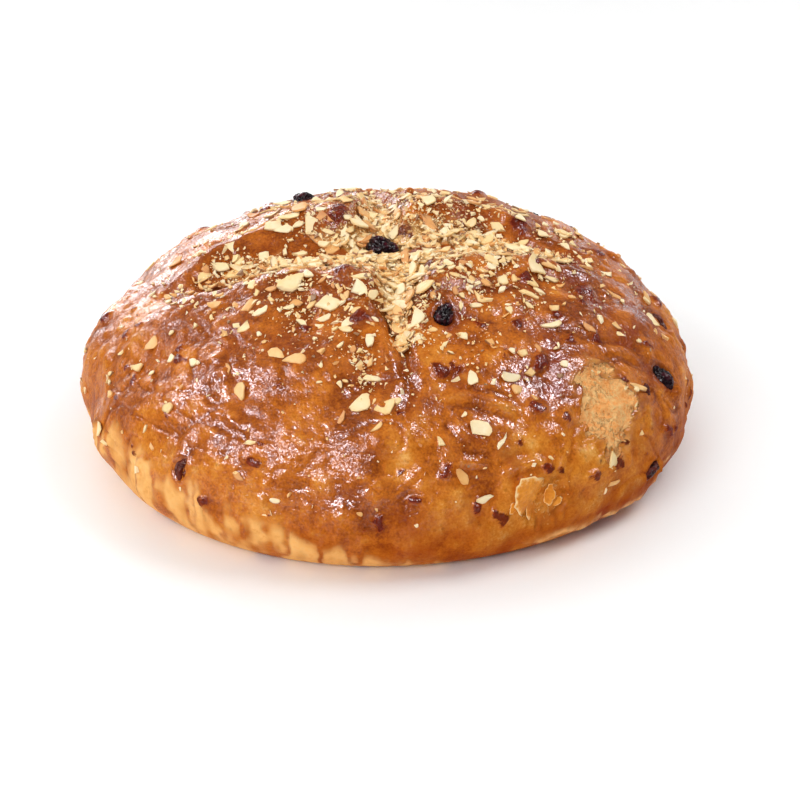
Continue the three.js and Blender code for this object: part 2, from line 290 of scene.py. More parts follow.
# materials: sums on sockets
class Wire:
    def __init__(self, finish, socket):
        self.finish, self.socket = finish, socket

    def sum(self, operation, first, second):
        return self.finish.node("ShaderNodeMath", {"operation": operation}, {0: first, 1: second})

    def __add__(self, other):
        return self.sum("ADD", self, other)

    def __radd__(self, other):
        return self.sum("ADD", other, self)

    def __sub__(self, other):
        return self.sum("SUBTRACT", self, other)

    def __rsub__(self, other):
        return self.sum("SUBTRACT", other, self)

    def __mul__(self, other):
        return self.sum("MULTIPLY", self, other)

    def __rmul__(self, other):
        return self.sum("MULTIPLY", other, self)

    def __abs__(self):
        return self.sum("ABSOLUTE", self, 0.0)

    def swing(self, strength):
        # a noise's swing about its middle
        return (self - 0.5) * strength


class Finish:
    def __init__(self, name):
        self.material = bpy.data.materials.new(name)
        self.material.use_nodes = True
        self.nodes, self.links = self.material.node_tree.nodes, self.material.node_tree.links
        self.shader = self.nodes["Principled BSDF"]
        self.place = self.node("ShaderNodeTexCoord", output="Object")

    def node(self, kind, settings=None, sockets=None, output=0):
        made = self.nodes.new(kind)
        for key, value in (settings or {}).items():
            if key == "stops":
                self.setStops(made.color_ramp, value)
            else:
                setattr(made, key, value)
        for key, value in (sockets or {}).items():
            self.feed(made.inputs[key], value)
        return Wire(self, made.outputs[output])

    def setStops(self, ramp, stops):
        while len(ramp.elements) < len(stops):
            ramp.elements.new(0.5)
        for element, (position, colour) in zip(ramp.elements, stops):
            element.position, element.color = position, colour

    def feed(self, socket, value):
        if isinstance(value, Wire):
            self.links.new(value.socket, socket)
        else:
            socket.default_value = value

    def mask(self, name):
        return self.node("ShaderNodeAttribute", {"attribute_name": name}, output="Fac")

    def noise(self, size, detail=3.0, rough=0.55, stretch=None):
        place = self.place
        if stretch:
            place = self.node("ShaderNodeVectorMath", {"operation": "MULTIPLY"}, {0: place, 1: stretch})
        values = {"Vector": place, "Scale": 1.0 / (size * mm), "Detail": detail, "Roughness": rough}
        return self.node("ShaderNodeTexNoise", None, values, "Fac")

    def cells(self, size):
        values = {"Vector": self.place, "Scale": 1.0 / (size * mm)}
        return self.node("ShaderNodeTexVoronoi", None, values, "Distance")

    def spots(self, size, ragged, low, high):
        # 1 in the middle of each spot, 0 between them
        return self.between(self.cells(size) + ragged, low, high, 1.0, 0.0)

    def between(self, value, low, high, start=0.0, end=1.0):
        values = {"Value": value, "From Min": low, "From Max": high, "To Min": start, "To Max": end}
        return self.node("ShaderNodeMapRange", {"interpolation_type": "SMOOTHSTEP"}, values)

    def blend(self, factor, first, second):
        return self.node("ShaderNodeMix", {"data_type": "RGBA"}, {0: factor, 6: first, 7: second}, 2)

    def ramp(self, value, stops):
        return self.node("ShaderNodeValToRGB", {"stops": stops}, {0: value})

    def bump(self, height):
        # height in millimetres
        return self.node("ShaderNodeBump", None, {"Height": height, "Distance": mm})

    def put(self, **sockets):
        for key, value in sockets.items():
            self.feed(self.shader.inputs[key.replace("_", " ")], value)

    def over(self, factor, **sockets):
        # a second shader over the first one, as far as the factor goes
        values = {key.replace("_", " "): value for key, value in sockets.items()}
        top = self.node("ShaderNodeBsdfPrincipled", None, values)
        shaders = {0: factor, 1: Wire(self, self.shader.outputs[0]), 2: top}
        both = self.node("ShaderNodeMixShader", None, shaders)
        self.feed(self.nodes["Material Output"].inputs["Surface"], both)

    def on(self, *pieces):
        for piece in pieces:
            piece.data.materials.append(self.material)


def settle(piece, slot, *nodes):
    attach(piece, "root")
    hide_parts(*nodes)


# raisins: bearing, drop, turn, size, share of it that is sunk, how far the glaze covers it
raisins = dict(
    raisin_middle=(-153, 3.2, 20, (15, 11, 11.5), 0.3, 0.0),
    raisin_front_lip=(-73.8, 31.5, 62, (10.5, 7.4, 6.4), 0.48, 0.12),
    raisin_right_side=(-23.5, 68.5, 105, (13, 7.6, 7), 0.7, 0.0),
    raisin_right_low=(-32, 67, 60, (8.2, 7, 6), 0.74, 0.7),
    raisin_right_foot=(-36.5, 91, 10, (10, 7, 6.4), 0.72, 0.5),
    raisin_right_brow=(-6.5, 61, 75, (11, 7.4, 6.6), 0.76, 0.8),
    raisin_left_back=(122, 36, 15, (11, 8, 7), 0.62, 0.0),
    raisin_left_foot=(-128.5, 80, 95, (8.6, 6.6, 6), 0.78, 0.8),
    raisin_back_right=(52, 58, 40, (11.5, 8, 7), 0.6, 0.3),
    raisin_back_left=(118, 72, 120, (10.5, 7.6, 6.8), 0.66, 0.6),
)
raisinForm = dict(
    fineness=5, lumpiness=0.12, lumpSize=4.5, warp=0.8, warpSize=3.0, lengthwise=0.5, highest=0.35,
    fold=dict(width=2.8, depth=1.3, level=0.6, sharpness=0.75),
    crease=dict(width=1.15, depth=0.65, level=0.45, sharpness=0.8),
    clearance=1.0,  # kept free of almonds
)
raisinLook = dict(
    bareTones=(
        (0.2, srgb(7, 2, 4)), (0.48, srgb(26, 6, 13)), (0.62, srgb(68, 16, 28)), (0.9, srgb(128, 46, 50)),
    ),
    glazedTones=((0.2, srgb(52, 16, 12)), (0.6, srgb(104, 38, 20)), (1.0, srgb(160, 82, 34))),
    gloss=0.14, toneSize=2.4, beadSize=1.0, beadHeight=0.25,
)


def raisinSpot(bearing, drop, _turn, size, *_):
    # where a raisin sits, and how far around it almonds keep off
    return crustSpot(bearing, drop), size[0] / 2 + raisinForm["clearance"]


def wrinkle(points, form, seed):
    fold = np.abs(swells(points, form["width"], seed)) ** form["sharpness"]
    return fold, form["depth"] * (form["level"] - fold)


def makeRaisin(node, order):
    bearing, drop, turn, size, sunk, cover = raisins[node]
    egg = bmesh.new()
    bmesh.ops.create_icosphere(egg, subdivisions=raisinForm["fineness"], radius=1.0)
    ball = np.array([v.co for v in egg.verts])
    faces = np.array([[v.index for v in face.verts] for face in egg.faces])
    egg.free()
    half = np.array(size) / 2
    local = ball * half
    warped = [swells(local, raisinForm["warpSize"], seed + order) for seed in (141, 161, 181)]
    warp = raisinForm["warp"] * np.stack(warped, -1)
    along = (local + warp) * [raisinForm["lengthwise"], 1.0, 1.0]  # folds run lengthwise
    fold, folding = wrinkle(along, raisinForm["fold"], 61 + order)
    _, creasing = wrinkle(local + warp, raisinForm["crease"], 81 + order)
    lumpy = 1.0 + raisinForm["lumpiness"] * swells(local, raisinForm["lumpSize"], 101 + order)
    local = local * lumpy[:, None]
    local -= unit(ball / half) * np.maximum(folding + creasing, -raisinForm["highest"])[:, None]
    *axes, place = frameAt(bearing, drop, turn)
    local[:, 2] += size[2] * (0.5 - sunk)
    masks = {"fold": fold, "cover": np.full(len(local), cover)}
    return meshPiece(node + "_fruit", setDown(local, place, axes), faces, masks)


def finishRaisin(look):
    f = Finish("raisin skin")
    fold, cover = f.mask("fold"), f.mask("cover")
    tone, beads = f.noise(look["toneSize"], 2.0, 0.5), f.noise(look["beadSize"], 0.0)
    depth = tone * 0.7 + fold * 0.3
    glazed = f.between(cover + tone.swing(0.8), 0.25, 0.75)
    colour = f.blend(glazed, f.ramp(depth, look["bareTones"]), f.ramp(depth, look["glazedTones"]))
    f.put(Base_Color=colour, Roughness=0.2 + tone * 0.12, Normal=f.bump(beads * look["beadHeight"]))
    f.put(Specular_IOR_Level=look["gloss"])
    return f


raisinSpots = [raisinSpot(*raisin) for raisin in raisins.values()]
raisinSkin = finishRaisin(raisinLook)
for order, node in enumerate(raisins):
    fruitPiece = makeRaisin(node, order)
    settle(fruitPiece, "raisin", node)
    raisinSkin.on(fruitPiece)
print("raisins:", len(raisins))

# almonds fill the cut up to this level, less around the raisin in the middle
heap = dict(rise=6.0, level=0.85, clear=(5.0, 16.0))


def heapRise(points, depth):
    spot = raisinSpots[0][0]
    off = np.hypot(points[:, 0] - spot[0], points[:, 1] - spot[1])
    return heap["rise"] * depth * smooth(*heap["clear"], off)


# slopes of the lobes where few almonds stayed
openSlopes = dict(
    bareness=0.88, edge=(0.5, 1.1),  # of the radius
    places=(  # bearing, drop, radius
        (-172, 18, 11), (-162, 12, 8), (178, 25, 10), (-45, 6, 8), (-18, 10, 9), (-131, 17, 7),
    ),
)


def slopeShare(points):
    share = np.zeros(len(points))
    for bearing, drop, radius in openSlopes["places"]:
        off = np.linalg.norm(points[:, :2] - plainSpot(bearing, drop)[:2], axis=1)
        share = np.maximum(share, 1.0 - smooth(*openSlopes["edge"], off / radius))
    return openSlopes["bareness"] * share


def awayFromCut(points):
    # distance from the middle of the cut, as a share of the loaf's radius
    return np.hypot(points[:, 0] - cut["x"], points[:, 1] - cut["y"]) / loaf["radius"]


# the crust
crust = dict(
    grid=284, skirtRings=12, baseRings=5, baseRise=0.35,
    cutWander=1.5, fruitWarp=2.1, crumbHeight=0.8, heapHeight=0.7, dentTone=0.25,
    pebbles=dict(count=760, up=(-0.3, 1.0), radius=(1.8, 3.8), height=(0.15, 0.6), seed=5),
    specks=dict(count=46, up=(-0.1, 0.98), radius=(1.2, 2.2), height=(0.25, 0.7), seed=8),
    knobs=dict(spread=1.22, height=1.4, bulgeHeight=0.3),
    wrinkles=dict(coarse=0.48, fine=0.24, crease=0.6, creaseEdge=(0.0, 0.16), creased=(0.05, 0.5)),
    foldForm=dict(wander=0.8, trough=0.5, troughAt=2.1, taper=0.6),
    crinkle=dict(  # the edge low on the right, its bearings in degrees
        height=8.5, climb=7.0, climbs=(-45, -22), wander=1.2, starts=(-70, -58), ends=(-32, -20),
        width=1.7, rise=0.7, coarse=0.8, fine=0.5, creaseUp=3.6, creaseWidth=1.3, creaseDepth=0.5,
    ),
    pocket=dict(  # dough round a raisin: reach in its lengths, edges in shares of its half size
        reach=1.6, collarAt=1.22, collarWidth=0.22, hollow=1.4, hollowEdge=(0.75, 1.05),
        over=0.45, overEdge=(0.5, 1.3), rimAt=1.1, rimWidth=0.3,
    ),
    torn=dict(  # edges in shares of a torn place's radius
        paleness=(1.0, 0.4, 0.9), edge=(0.92, 1.0), thinned=(0.9, 1.6), lip=0.7, lipAt=1.06, lipWidth=0.06,
        sunk=0.55, step=0.6,
    ),
    glazing=dict(  # where dough shows below the glaze: bearing and focus of each side, and height
        left=(-138, 5), leftHeight=39.0, right=(-42, 10), rightHeight=5.0, offset=-9.0, fade=(-5.0, 4.0),
        strokes=(5.0, 7.0), bare=0.66, band=0.2, drip=0.6, dripAt=0.1, dripWidth=0.15, wetTop=(22.0, 38.0),
        mottle=(0.2, 0.26), thin=(0.35, 0.3), edging=(0.65, 0.5),  # broad and narrow, or even and noisy
    ),
    streaks=(110.0, 0.3),  # radius and squeezed height at which noise runs in streaks down the side
    dusting=dict(amount=0.85, reach=0.4, inCut=0.5, hollowReach=0.42),
    # painted shade near the floor, darker towards the foot
    footShade=dict(fade=(6.0, 36.0), paleSide=(-137, 7), least=0.55, mottle=0.7),
    baking=dict(  # how pale the crust is, and what each mark adds to that, painted shade among them
        middle=0.55, broad=0.12, narrow=0.13, darkest=0.3, top=(38.0, 78.0),
        left=(180, 2), leftRise=(24.0, 44.0), flank=-15, flankShade=0.08, flankRise=(18.0, 40.0),
        # painted shade: the fold troughs, the crease above the crinkled edge, the ring round each raisin and
        # the left side are darkened here
        adds=dict(small=0.3, foldTroughShade=0.35, crease=-0.25, hollow=0.16, rim=-0.14, fruit=-0.1, top=-0.16,
                  golden=0.24, leftShade=-0.13),
        ruddy=0.28, ruddyFlank=0.45, ruddyRise=(22.0, 50.0), ruddyLoss=0.8,
    ),
    shine=dict(
        least=0.06, full=(12.0, 34.0), flankLoss=0.6, flankTop=(34.0, 58.0), patch=0.5, fruit=0.55,
        cutLoss=0.5, folds=0.9, edging=0.6, wet=0.7,
    ),
    underside=dict(tone=0.48, mottle=0.2, glaze=0.8, foot=0.3),
    dents=(  # bearing, drop, radius, depth
        (-89, 69, 8.5, 1.9), (-122, 55, 13.0, 1.3), (-63, 69, 8.0, 1.0), (-82, 62, 9.0, 0.8),
        (-105, 60, 9.0, 0.6), (40, 66, 10.0, 1.3), (118, 62, 9.0, 1.2), (75, 52, 12.0, 1.2),
        (-165, 62, 9.0, 0.8), (170, 58, 10.0, 1.0),
    ),
    golden=(  # bearing, drop, radius of places that stayed lighter
        (-80, 41, 13), (-66, 44, 14), (-71, 49, 10), (-91, 60, 13), (-84, 58, 9), (-64, 68, 11),
        (-52, 73, 9), (-124, 60, 9), (62, 50, 14), (120, 64, 12), (170, 70, 13), (20, 62, 10),
    ),
    fruit=(  # bearing, drop, radius, height of smaller fruit under the skin
        (-144.8, 53, 3.3, 1.1), (-142.5, 54.5, 2.8, 0.9), (-156, 65, 2.7, 0.8), (-151, 67, 2.6, 0.8),
        (-153, 73, 2.6, 0.7), (-115, 71, 4.0, 1.2), (-140, 83, 2.8, 0.8), (-123, 86.5, 3.6, 1.1),
        (-117.6, 37, 3.0, 0.9), (-136.7, 42, 2.6, 0.8), (-85, 78.5, 2.6, 0.7), (-79, 46, 3.9, 1.3),
        (-75, 45, 2.8, 0.9), (-75, 81, 3.5, 1.1), (-91, 85, 3.3, 1.0), (-80.4, 70.6, 3.0, 0.9),
        (-71, 86.5, 2.8, 0.8), (-20.5, 27.5, 3.8, 1.1), (-20.4, 39, 4.4, 1.3), (-27.7, 40, 3.2, 0.9),
        (-33, 28.4, 3.6, 1.0), (-41.7, 45.5, 2.8, 0.8), (-35.6, 49.4, 3.0, 0.9), (-54.6, 49, 4.2, 1.5),
        (-52.5, 38, 3.3, 1.0), (-39.7, 39, 3.2, 0.9), (-63, 34.4, 2.8, 0.8), (-61.8, 75, 3.7, 1.5),
        (-58.6, 76.3, 3.2, 1.1), (-48.4, 71, 3.1, 1.1), (-44.4, 74.8, 3.3, 1.2), (-53, 82, 3.5, 1.2),
        (-47.3, 81, 3.5, 1.2), (-31, 81, 3.5, 1.1), (-28, 81, 2.8, 0.9), (1.6, 61, 3.8, 1.2),
        (-101, 31, 5.0, 1.4), (35, 50, 4.6, 1.3), (78, 75, 4.0, 1.1), (-12, 84, 3.4, 1.0),
        (180, 66, 4.0, 1.1), (-165, 60, 4.2, 1.0), (62, 40, 4.4, 1.2), (128, 82, 3.6, 1.0),
        (22, 74, 3.8, 1.1), (105, 44, 3.8, 1.0), (140, 33, 4.2, 1.2), (60, 70, 3.4, 1.0),
        (166, 78, 3.2, 0.9), (88, 66, 3.2, 0.9),
    ),
    folds=(  # rolled wrinkles: places along each as bearing and drop, then width and height
        (((-79.5, 51.2), (-72.8, 53), (-66.5, 57), (-63.8, 59.4)), 1.7, 1.5),
        (((-78.8, 57.5), (-76.6, 61), (-74.2, 63.9)), 1.5, 1.2),
        (((-77.5, 68.6), (-71.5, 71)), 1.4, 0.9),
        (((-70, 74.5), (-66, 72), (-61.6, 72.3)), 1.5, 1.0),
        (((-137, 59), (-130.5, 53.3), (-126.8, 49.6)), 1.8, 0.8),
        (((-131, 61.5), (-126, 62.2), (-119.8, 63.5), (-115, 62.8)), 1.9, 0.8),
        (((-129, 67), (-129.8, 73.2), (-130.5, 78.4)), 2.0, 0.9),
        (((-37.6, 51), (-31, 55), (-27.6, 60.4)), 1.8, 1.3),
        (((-92, 36), (-91, 43), (-90.6, 49), (-92.5, 56)), 3.8, 1.0),
        (((-88.6, 35), (-86.6, 43), (-85.9, 50), (-88.5, 57)), 3.0, -0.9),
        (((30, 58), (38, 61), (47, 66)), 2.2, 1.2),
        (((100, 66), (108, 63), (118, 66)), 2.1, 1.0),
        (((160, 60), (168, 64), (172, 70)), 2.0, 1.0),
    ),
)


def discGrid(count):
    # a square grid drawn round to a dome: bearing and height of its points, its faces and its rim
    line = np.linspace(-1.0, 1.0, count + 1)
    a, b = np.meshgrid(line, line, indexing="ij")
    wide = np.abs(a) > np.abs(b)
    reach = np.where(wide, a, b)
    with np.errstate(divide="ignore", invalid="ignore"):
        angle = np.where(wide, 0.25 * math.pi * b / a, 0.5 * math.pi - 0.25 * math.pi * a / b)
    angle = np.nan_to_num(angle)
    bearing = np.arctan2(reach * np.sin(angle), reach * np.cos(angle))
    drop = 0.5 * math.pi * np.abs(reach)
    number = np.arange(reach.size).reshape(reach.shape)
    corners = (number[:-1, :-1], number[1:, :-1], number[1:, 1:], number[:-1, 1:])
    quads = np.stack([corner.ravel() for corner in corners], -1)
    rim = np.concatenate([number[:-1, 0], number[-1, :-1], number[:0:-1, -1], number[0, :0:-1]])
    return bearing.ravel(), np.cos(drop).ravel(), quads, rim


def ringQuads(first, second):
    return np.stack([first, np.roll(first, -1), np.roll(second, -1), second], -1)[:, ::-1]


def scatterMounds(points, middles, radii):
    # how far each point is up the highest mound there, and the number of that mound
    share, owner = np.zeros(len(points)), np.zeros(len(points), int)
    for k, (middle, radius) in enumerate(zip(middles, radii)):
        near = np.flatnonzero(np.all(np.abs(points - middle) < radius, axis=1))
        here = moundShare(points[near], middle, radius)
        higher = here > share[near]
        share[near[higher]], owner[near[higher]] = here[higher], k
    return share, owner


def foldRelief(points, ragged):
    form = crust["foldForm"]
    relief = np.zeros(len(points))
    for places, width, height in crust["folds"]:
        spots = [plainSpot(*place) for place in places]
        off, along = np.full(len(points), np.inf), np.zeros(len(points))
        for k, (start, end) in enumerate(zip(spots[:-1], spots[1:])):
            way = end - start
            t = np.clip((points - start) @ way / (way @ way), 0.0, 1.0)
            here = np.linalg.norm(points - start - t[:, None] * way, axis=1)
            along = np.where(here < off, (k + t) / (len(spots) - 1), along)
            off = np.minimum(off, here)
        off = off + form["wander"] * ragged
        ridge = hump(off, width) - form["trough"] * hump(off - form["troughAt"] * width, width)
        relief += height * np.sin(math.pi * along) ** form["taper"] * ridge
    return relief


def footEdge(points, bearing):
    # the crinkled edge low on the right, and the crease above it, which the crust's tone darkens as painted
    # shade
    form, degrees = crust["crinkle"], np.degrees(bearing)
    height = form["height"] + form["climb"] * smooth(*form["climbs"], degrees)
    off = points[:, 2] - height - form["wander"] * layered(points, 9.0, 141, 2)
    there = smooth(*form["starts"], degrees) * (1.0 - smooth(*form["ends"], degrees))
    return there * hump(off, form["width"]), there * hump(off - form["creaseUp"], form["creaseWidth"])


def pocketRelief(points):
    # dough drawn up round each raisin, and over those that the glaze covers; the ring where dough meets
    # raisin is darkened in the crust's tone as painted shade
    form = crust["pocket"]
    relief, rim = np.zeros(len(points)), np.zeros(len(points))
    for bearing, drop, turn, size, sunk, cover in raisins.values():
        ahead, across, _, place = frameAt(bearing, drop, turn)
        near = np.flatnonzero(np.linalg.norm(points - place, axis=1) < form["reach"] * size[0])
        off = points[near] - place
        reach = np.hypot(off @ ahead / (size[0] / 2), off @ across / (size[1] / 2))
        collar = (0.5 + 0.5 * cover) * hump(reach - form["collarAt"], form["collarWidth"])
        hollow = form["hollow"] * (1.0 - cover) * (1.0 - smooth(*form["hollowEdge"], reach))
        over = form["over"] * cover * size[2] * (1.0 - sunk) * (1.0 - smooth(*form["overEdge"], reach))
        relief[near] += collar - hollow + over
        rim[near] = np.maximum(rim[near], hump(reach - form["rimAt"], form["rimWidth"]))
    return relief, rim


def tornRelief(points):
    # torn places, and how thin the glaze is around them
    form = crust["torn"]
    relief, tear, thin = np.zeros(len(points)), np.zeros(len(points)), np.zeros(len(points))
    wander = 0.3 * layered(points, 10.0, 3, 2) + 0.2 * layered(points, 3.8, 7, 2)
    steps = smooth(0.0, 0.12, layered(points, 7.0, 131, 3))
    steps += smooth(0.2, 0.32, layered(points, 5.0, 137, 2))
    for (middle, radius, sunk), pale in zip(placedTears, form["paleness"]):
        reach = np.linalg.norm(points - middle, axis=1) / radius + wander
        here = 1.0 - smooth(*form["edge"], reach)
        relief += form["lip"] * hump(reach - form["lipAt"], form["lipWidth"])
        relief -= here * (form["sunk"] * sunk + form["step"] * steps)
        tear = np.maximum(tear, pale * here)
        thin = np.maximum(thin, pale * (1.0 - smooth(*form["thinned"], reach)))
    return relief, tear, thin


def pebbleRelief(points):
    form = crust["pebbles"]
    draws = np.random.default_rng(form["seed"])
    count = form["count"]
    middles = plainPoint(draws.uniform(-math.pi, math.pi, count), draws.uniform(*form["up"], count))
    mound, owner = scatterMounds(points, middles, draws.uniform(*form["radius"], count))
    return mound * draws.uniform(*form["height"], count)[owner]


def drawSpecks():
    # bearing, drop, radius and height of the smallest fruit
    form = crust["specks"]
    draws = np.random.default_rng(form["seed"])
    bearings = np.degrees(draws.uniform(-math.pi, math.pi, form["count"]))
    drops = np.degrees(np.arccos(draws.uniform(*form["up"], form["count"])))
    sizes = [draws.uniform(*form[key], form["count"]) for key in ("radius", "height")]
    return np.column_stack([bearings, drops, *sizes])


def fruitRelief(points):
    # fruit under the skin: how far it shows through, and how far it stands out
    form = crust["knobs"]
    allFruit = np.concatenate([np.array(crust["fruit"]), drawSpecks()])
    middles = plainSpot(allFruit[:, 0], allFruit[:, 1])
    mound, owner = scatterMounds(points, middles, form["spread"] * allFruit[:, 2])
    fruit = smooth(0.05, 0.75, mound)
    knobs = form["height"] * smooth(0.0, 0.9, mound) * allFruit[owner, 3]
    for bearing, drop, radius, _ in bulges:
        mound = moundShare(points, plainSpot(bearing, drop), radius)
        fruit = np.maximum(fruit, smooth(0.15, 0.75, mound))
        knobs += form["bulgeHeight"] * smooth(0.2, 0.5, mound)
    return fruit, knobs


def wrinkleRelief(points):
    form = crust["wrinkles"]
    skin = form["coarse"] * layered(points, 9.5, 11, 3) + form["fine"] * layered(points, 3.8, 17, 2)
    creases = 1.0 - smooth(*form["creaseEdge"], np.abs(swells(points * [1.0, 1.0, 2.4], 15.0, 23)))
    return skin - form["crease"] * creases * smooth(*form["creased"], swells(points, 34.0, 29))


# masks for the crust's finish
def glazeMasks(points, bearing, around, edging, thin):
    # the glaze thins out towards the foot, most on the left front, and runs down there in wet drips
    form, z = crust["glazing"], points[:, 2]
    left = facing(bearing, *form["left"])
    broad, narrow = form["strokes"]
    strokes = broad * layered(around, 22.0, 43, 2) + narrow * swells(around, 9.0, 151)
    edge = form["rightHeight"] * facing(bearing, *form["right"]) + form["offset"]
    edge += left * (form["leftHeight"] + strokes)
    bands = swells(around, 8.0, 49) + 0.2 * swells(points, 4.0, 57)
    drips = hump(bands - form["dripAt"], form["dripWidth"])
    broad, narrow = form["mottle"]
    mottle = broad * layered(points, 7.0, 59, 3, 0.6) + narrow * layered(around, 5.0, 153, 2)
    shown = form["bare"] + form["band"] * smooth(-0.5, 0.5, bands) - form["drip"] * drips + mottle
    bare = smooth(*form["fade"], edge - z) * shown
    even, noisy = form["thin"]
    bare = np.maximum(bare, thin * (even + noisy * swells(points, 5.0, 83)))
    even, noisy = form["edging"]
    bare = np.maximum(bare, edging * (even + noisy * layered(points, 3.0, 149, 2)))
    wet = left * (1.0 - smooth(*form["wetTop"], z)) * smooth(0.3, 0.8, drips)
    return 1.0 - bare, wet


def dustMasks(points, depth):
    # almond dust around the middle, and the pale floor of the cut
    form, away = crust["dusting"], awayFromCut(points)
    strewn = 1.0 - slopeShare(points)
    dust = (form["amount"] * hump(away, form["reach"]) + form["inCut"] * depth) * strewn
    return dust, depth * hump(away, form["hollowReach"]) * strewn


def footShadeMask(points, bearing, around):
    # painted shade: darker towards the foot, near the floor, but not where the dough shows
    form = crust["footShade"]
    foot = (1.0 - smooth(*form["fade"], points[:, 2])) * (1.0 - facing(bearing, *form["paleSide"]))
    mottle = layered(around, 16.0, 161, 3) + 0.6 * layered(points, 6.0, 163, 3)
    return foot * (form["least"] + form["mottle"] * smooth(-0.5, 0.5, mottle))


def toneMasks(points, bearing, flank, marks):
    # how pale the crust is, with painted shade in the fold troughs, in the crease above the crinkled edge,
    # round each raisin, on the left side and on the flank, and how red
    form, z = crust["baking"], points[:, 2]
    golden = [moundShare(points, plainSpot(b, d), radius) for b, d, radius in crust["golden"]]
    marks = dict(
        marks, golden=np.max(golden, axis=0), foldTroughShade=np.minimum(marks["folds"], 0.0),
        top=smooth(*form["top"], z), leftShade=facing(bearing, *form["left"]) * smooth(*form["leftRise"], z),
    )
    tone = form["middle"] + sum(amount * marks[key] for key, amount in form["adds"].items())
    tone += form["broad"] * layered(points, 42.0, 51, 2) + form["narrow"] * layered(points, 17.0, 53, 3)
    tone = np.maximum(tone, form["darkest"]) - form["flankShade"] * flank * smooth(*form["flankRise"], z)
    ruddy = form["ruddy"] + form["ruddyFlank"] * flank * smooth(*form["ruddyRise"], z)
    return tone, ruddy * (1.0 - form["ruddyLoss"] * marks["golden"])


def shineMask(points, depth, flank, glaze, wet, marks):
    form, z = crust["shine"], points[:, 2]
    low = form["least"] + (1.0 - form["least"]) * smooth(*form["full"], z)
    low *= 1.0 - form["flankLoss"] * flank * (1.0 - smooth(*form["flankTop"], z))
    patches = form["patch"] + (1.0 - form["patch"]) * smooth(-0.25, 0.25, layered(points, 16.0, 91, 2))
    patches = np.maximum(patches, np.maximum(form["fruit"] * marks["fruit"], marks["folds"]))
    folds = form["folds"] * smooth(0.15, 0.6, marks["folds"])
    shine = glaze * np.maximum(low * patches * (1.0 - form["cutLoss"] * depth), folds)
    return np.maximum(shine, np.maximum(form["edging"] * marks["edging"], form["wet"] * wet))


def crustMasks(points, bearing, depth, thin, marks):
    reach, squeeze = crust["streaks"]
    around = np.stack([reach * np.cos(bearing), reach * np.sin(bearing), squeeze * points[:, 2]], -1)
    flank = smooth(0.0, 0.8, np.cos(bearing - math.radians(crust["baking"]["flank"])))  # redder, less glossy
    glaze, wet = glazeMasks(points, bearing, around, marks["edging"], thin)
    dust, hollow = dustMasks(points, depth)
    tone, ruddy = toneMasks(points, bearing, flank, dict(marks, hollow=hollow))
    return dict(
        glaze=glaze, tear=marks["tear"], fruit=marks["fruit"], hollow=hollow, tone=tone,
        sheen=shineMask(points, depth, flank, glaze, wet, marks), dust=dust,
        foot=footShadeMask(points, bearing, around), ruddy=ruddy,
    )


def makeCrust():
    bearing, up, quads, rim = discGrid(crust["grid"])
    faces, ring, rimBearing = [quads], rim, bearing[rim]
    for k in range(1, crust["skirtRings"] + 1):
        angle = 0.5 * math.pi * k / crust["skirtRings"]
        below = len(bearing) + np.arange(len(rim))
        bearing = np.concatenate([bearing, rimBearing])
        up = np.concatenate([up, np.full(len(rim), -math.sin(angle))])
        faces.append(ringQuads(ring, below))
        ring = below
    points, normals = plainPoint(bearing, up), plainNormal(bearing, up)
    warp = np.stack([layered(points, 7.0, seed, 3, 0.6) for seed in (61, 67, 71)], -1)
    depth, lip = cutShare(points + crust["cutWander"] * warp)
    share = np.where(up >= 0, 1.0, smooth(*loaf["footBlend"], points[:, 2]))

    # large relief as in the solids, but with ragged tears
    torn, tear, thin = tornRelief(points)
    pockets, collar = pocketRelief(points)
    folds = foldRelief(points, layered(points, 8.0, 3, 4, 0.62))
    relief = openRelief(points, depth, lip) + heapRise(points, depth) + torn + pockets + folds

    # small relief: pebbles, fruit under the skin, dents, wrinkles, and crumb where the skin is off
    fruit, knobs = fruitRelief(points + crust["fruitWarp"] * warp)
    skin = wrinkleRelief(points) + pebbleRelief(points)
    dents = sum(sunk * moundShare(points, plainSpot(b, d), radius) for b, d, radius, sunk in crust["dents"])
    relief += (skin + knobs - dents) * (1.0 - tear)
    relief += tear * crust["crumbHeight"] * layered(points, 3.4, 31, 3, 0.7)
    relief += depth * crust["heapHeight"] * layered(points, 5.0, 37, 3)
    edging, crease = footEdge(points, bearing)
    form = crust["crinkle"]
    crinkle = form["rise"] + form["coarse"] * swells(points, 5.5, 143)
    crinkle = edging * (crinkle + form["fine"] * swells(points, 2.6, 147)) - form["creaseDepth"] * crease
    points = points + normals * (relief * share + crinkle)[:, None]
    marks = dict(fruit=fruit, folds=folds, edging=edging, crease=crease, rim=collar, tear=tear)
    masks = crustMasks(points, bearing, depth, thin, dict(marks, small=skin + crust["dentTone"] * dents))

    # underside, baked brown
    base = points[ring]
    for k in range(1, crust["baseRings"]):
        below = len(points) + np.arange(len(rim))
        shrink = 1.0 - k / crust["baseRings"]
        shrunk = base * [shrink, shrink, 1.0]
        shrunk[:, 2] = crust["baseRise"] * (1.0 + swells(shrunk, 14.0, 47)) * min(k, 2) / 2
        points = np.concatenate([points, shrunk])
        faces.append(ringQuads(ring, below))
        ring = below
    under = points[len(bearing):]
    baked = {key: np.full(len(under), crust["underside"].get(key, 0.0)) for key in masks}
    baked["tone"] += crust["underside"]["mottle"] * layered(under, 24.0, 157, 3)
    masks = {key: np.concatenate([mask, baked[key]]) for key, mask in masks.items()}
    allFaces = [face for block in faces for face in block] + [ring[::-1]]
    return meshPiece("breadCrust", points, allFaces, masks)


breadCrust = makeCrust()
settle(breadCrust, "crust", "bread")
print("crust:", len(breadCrust.data.polygons), "faces")

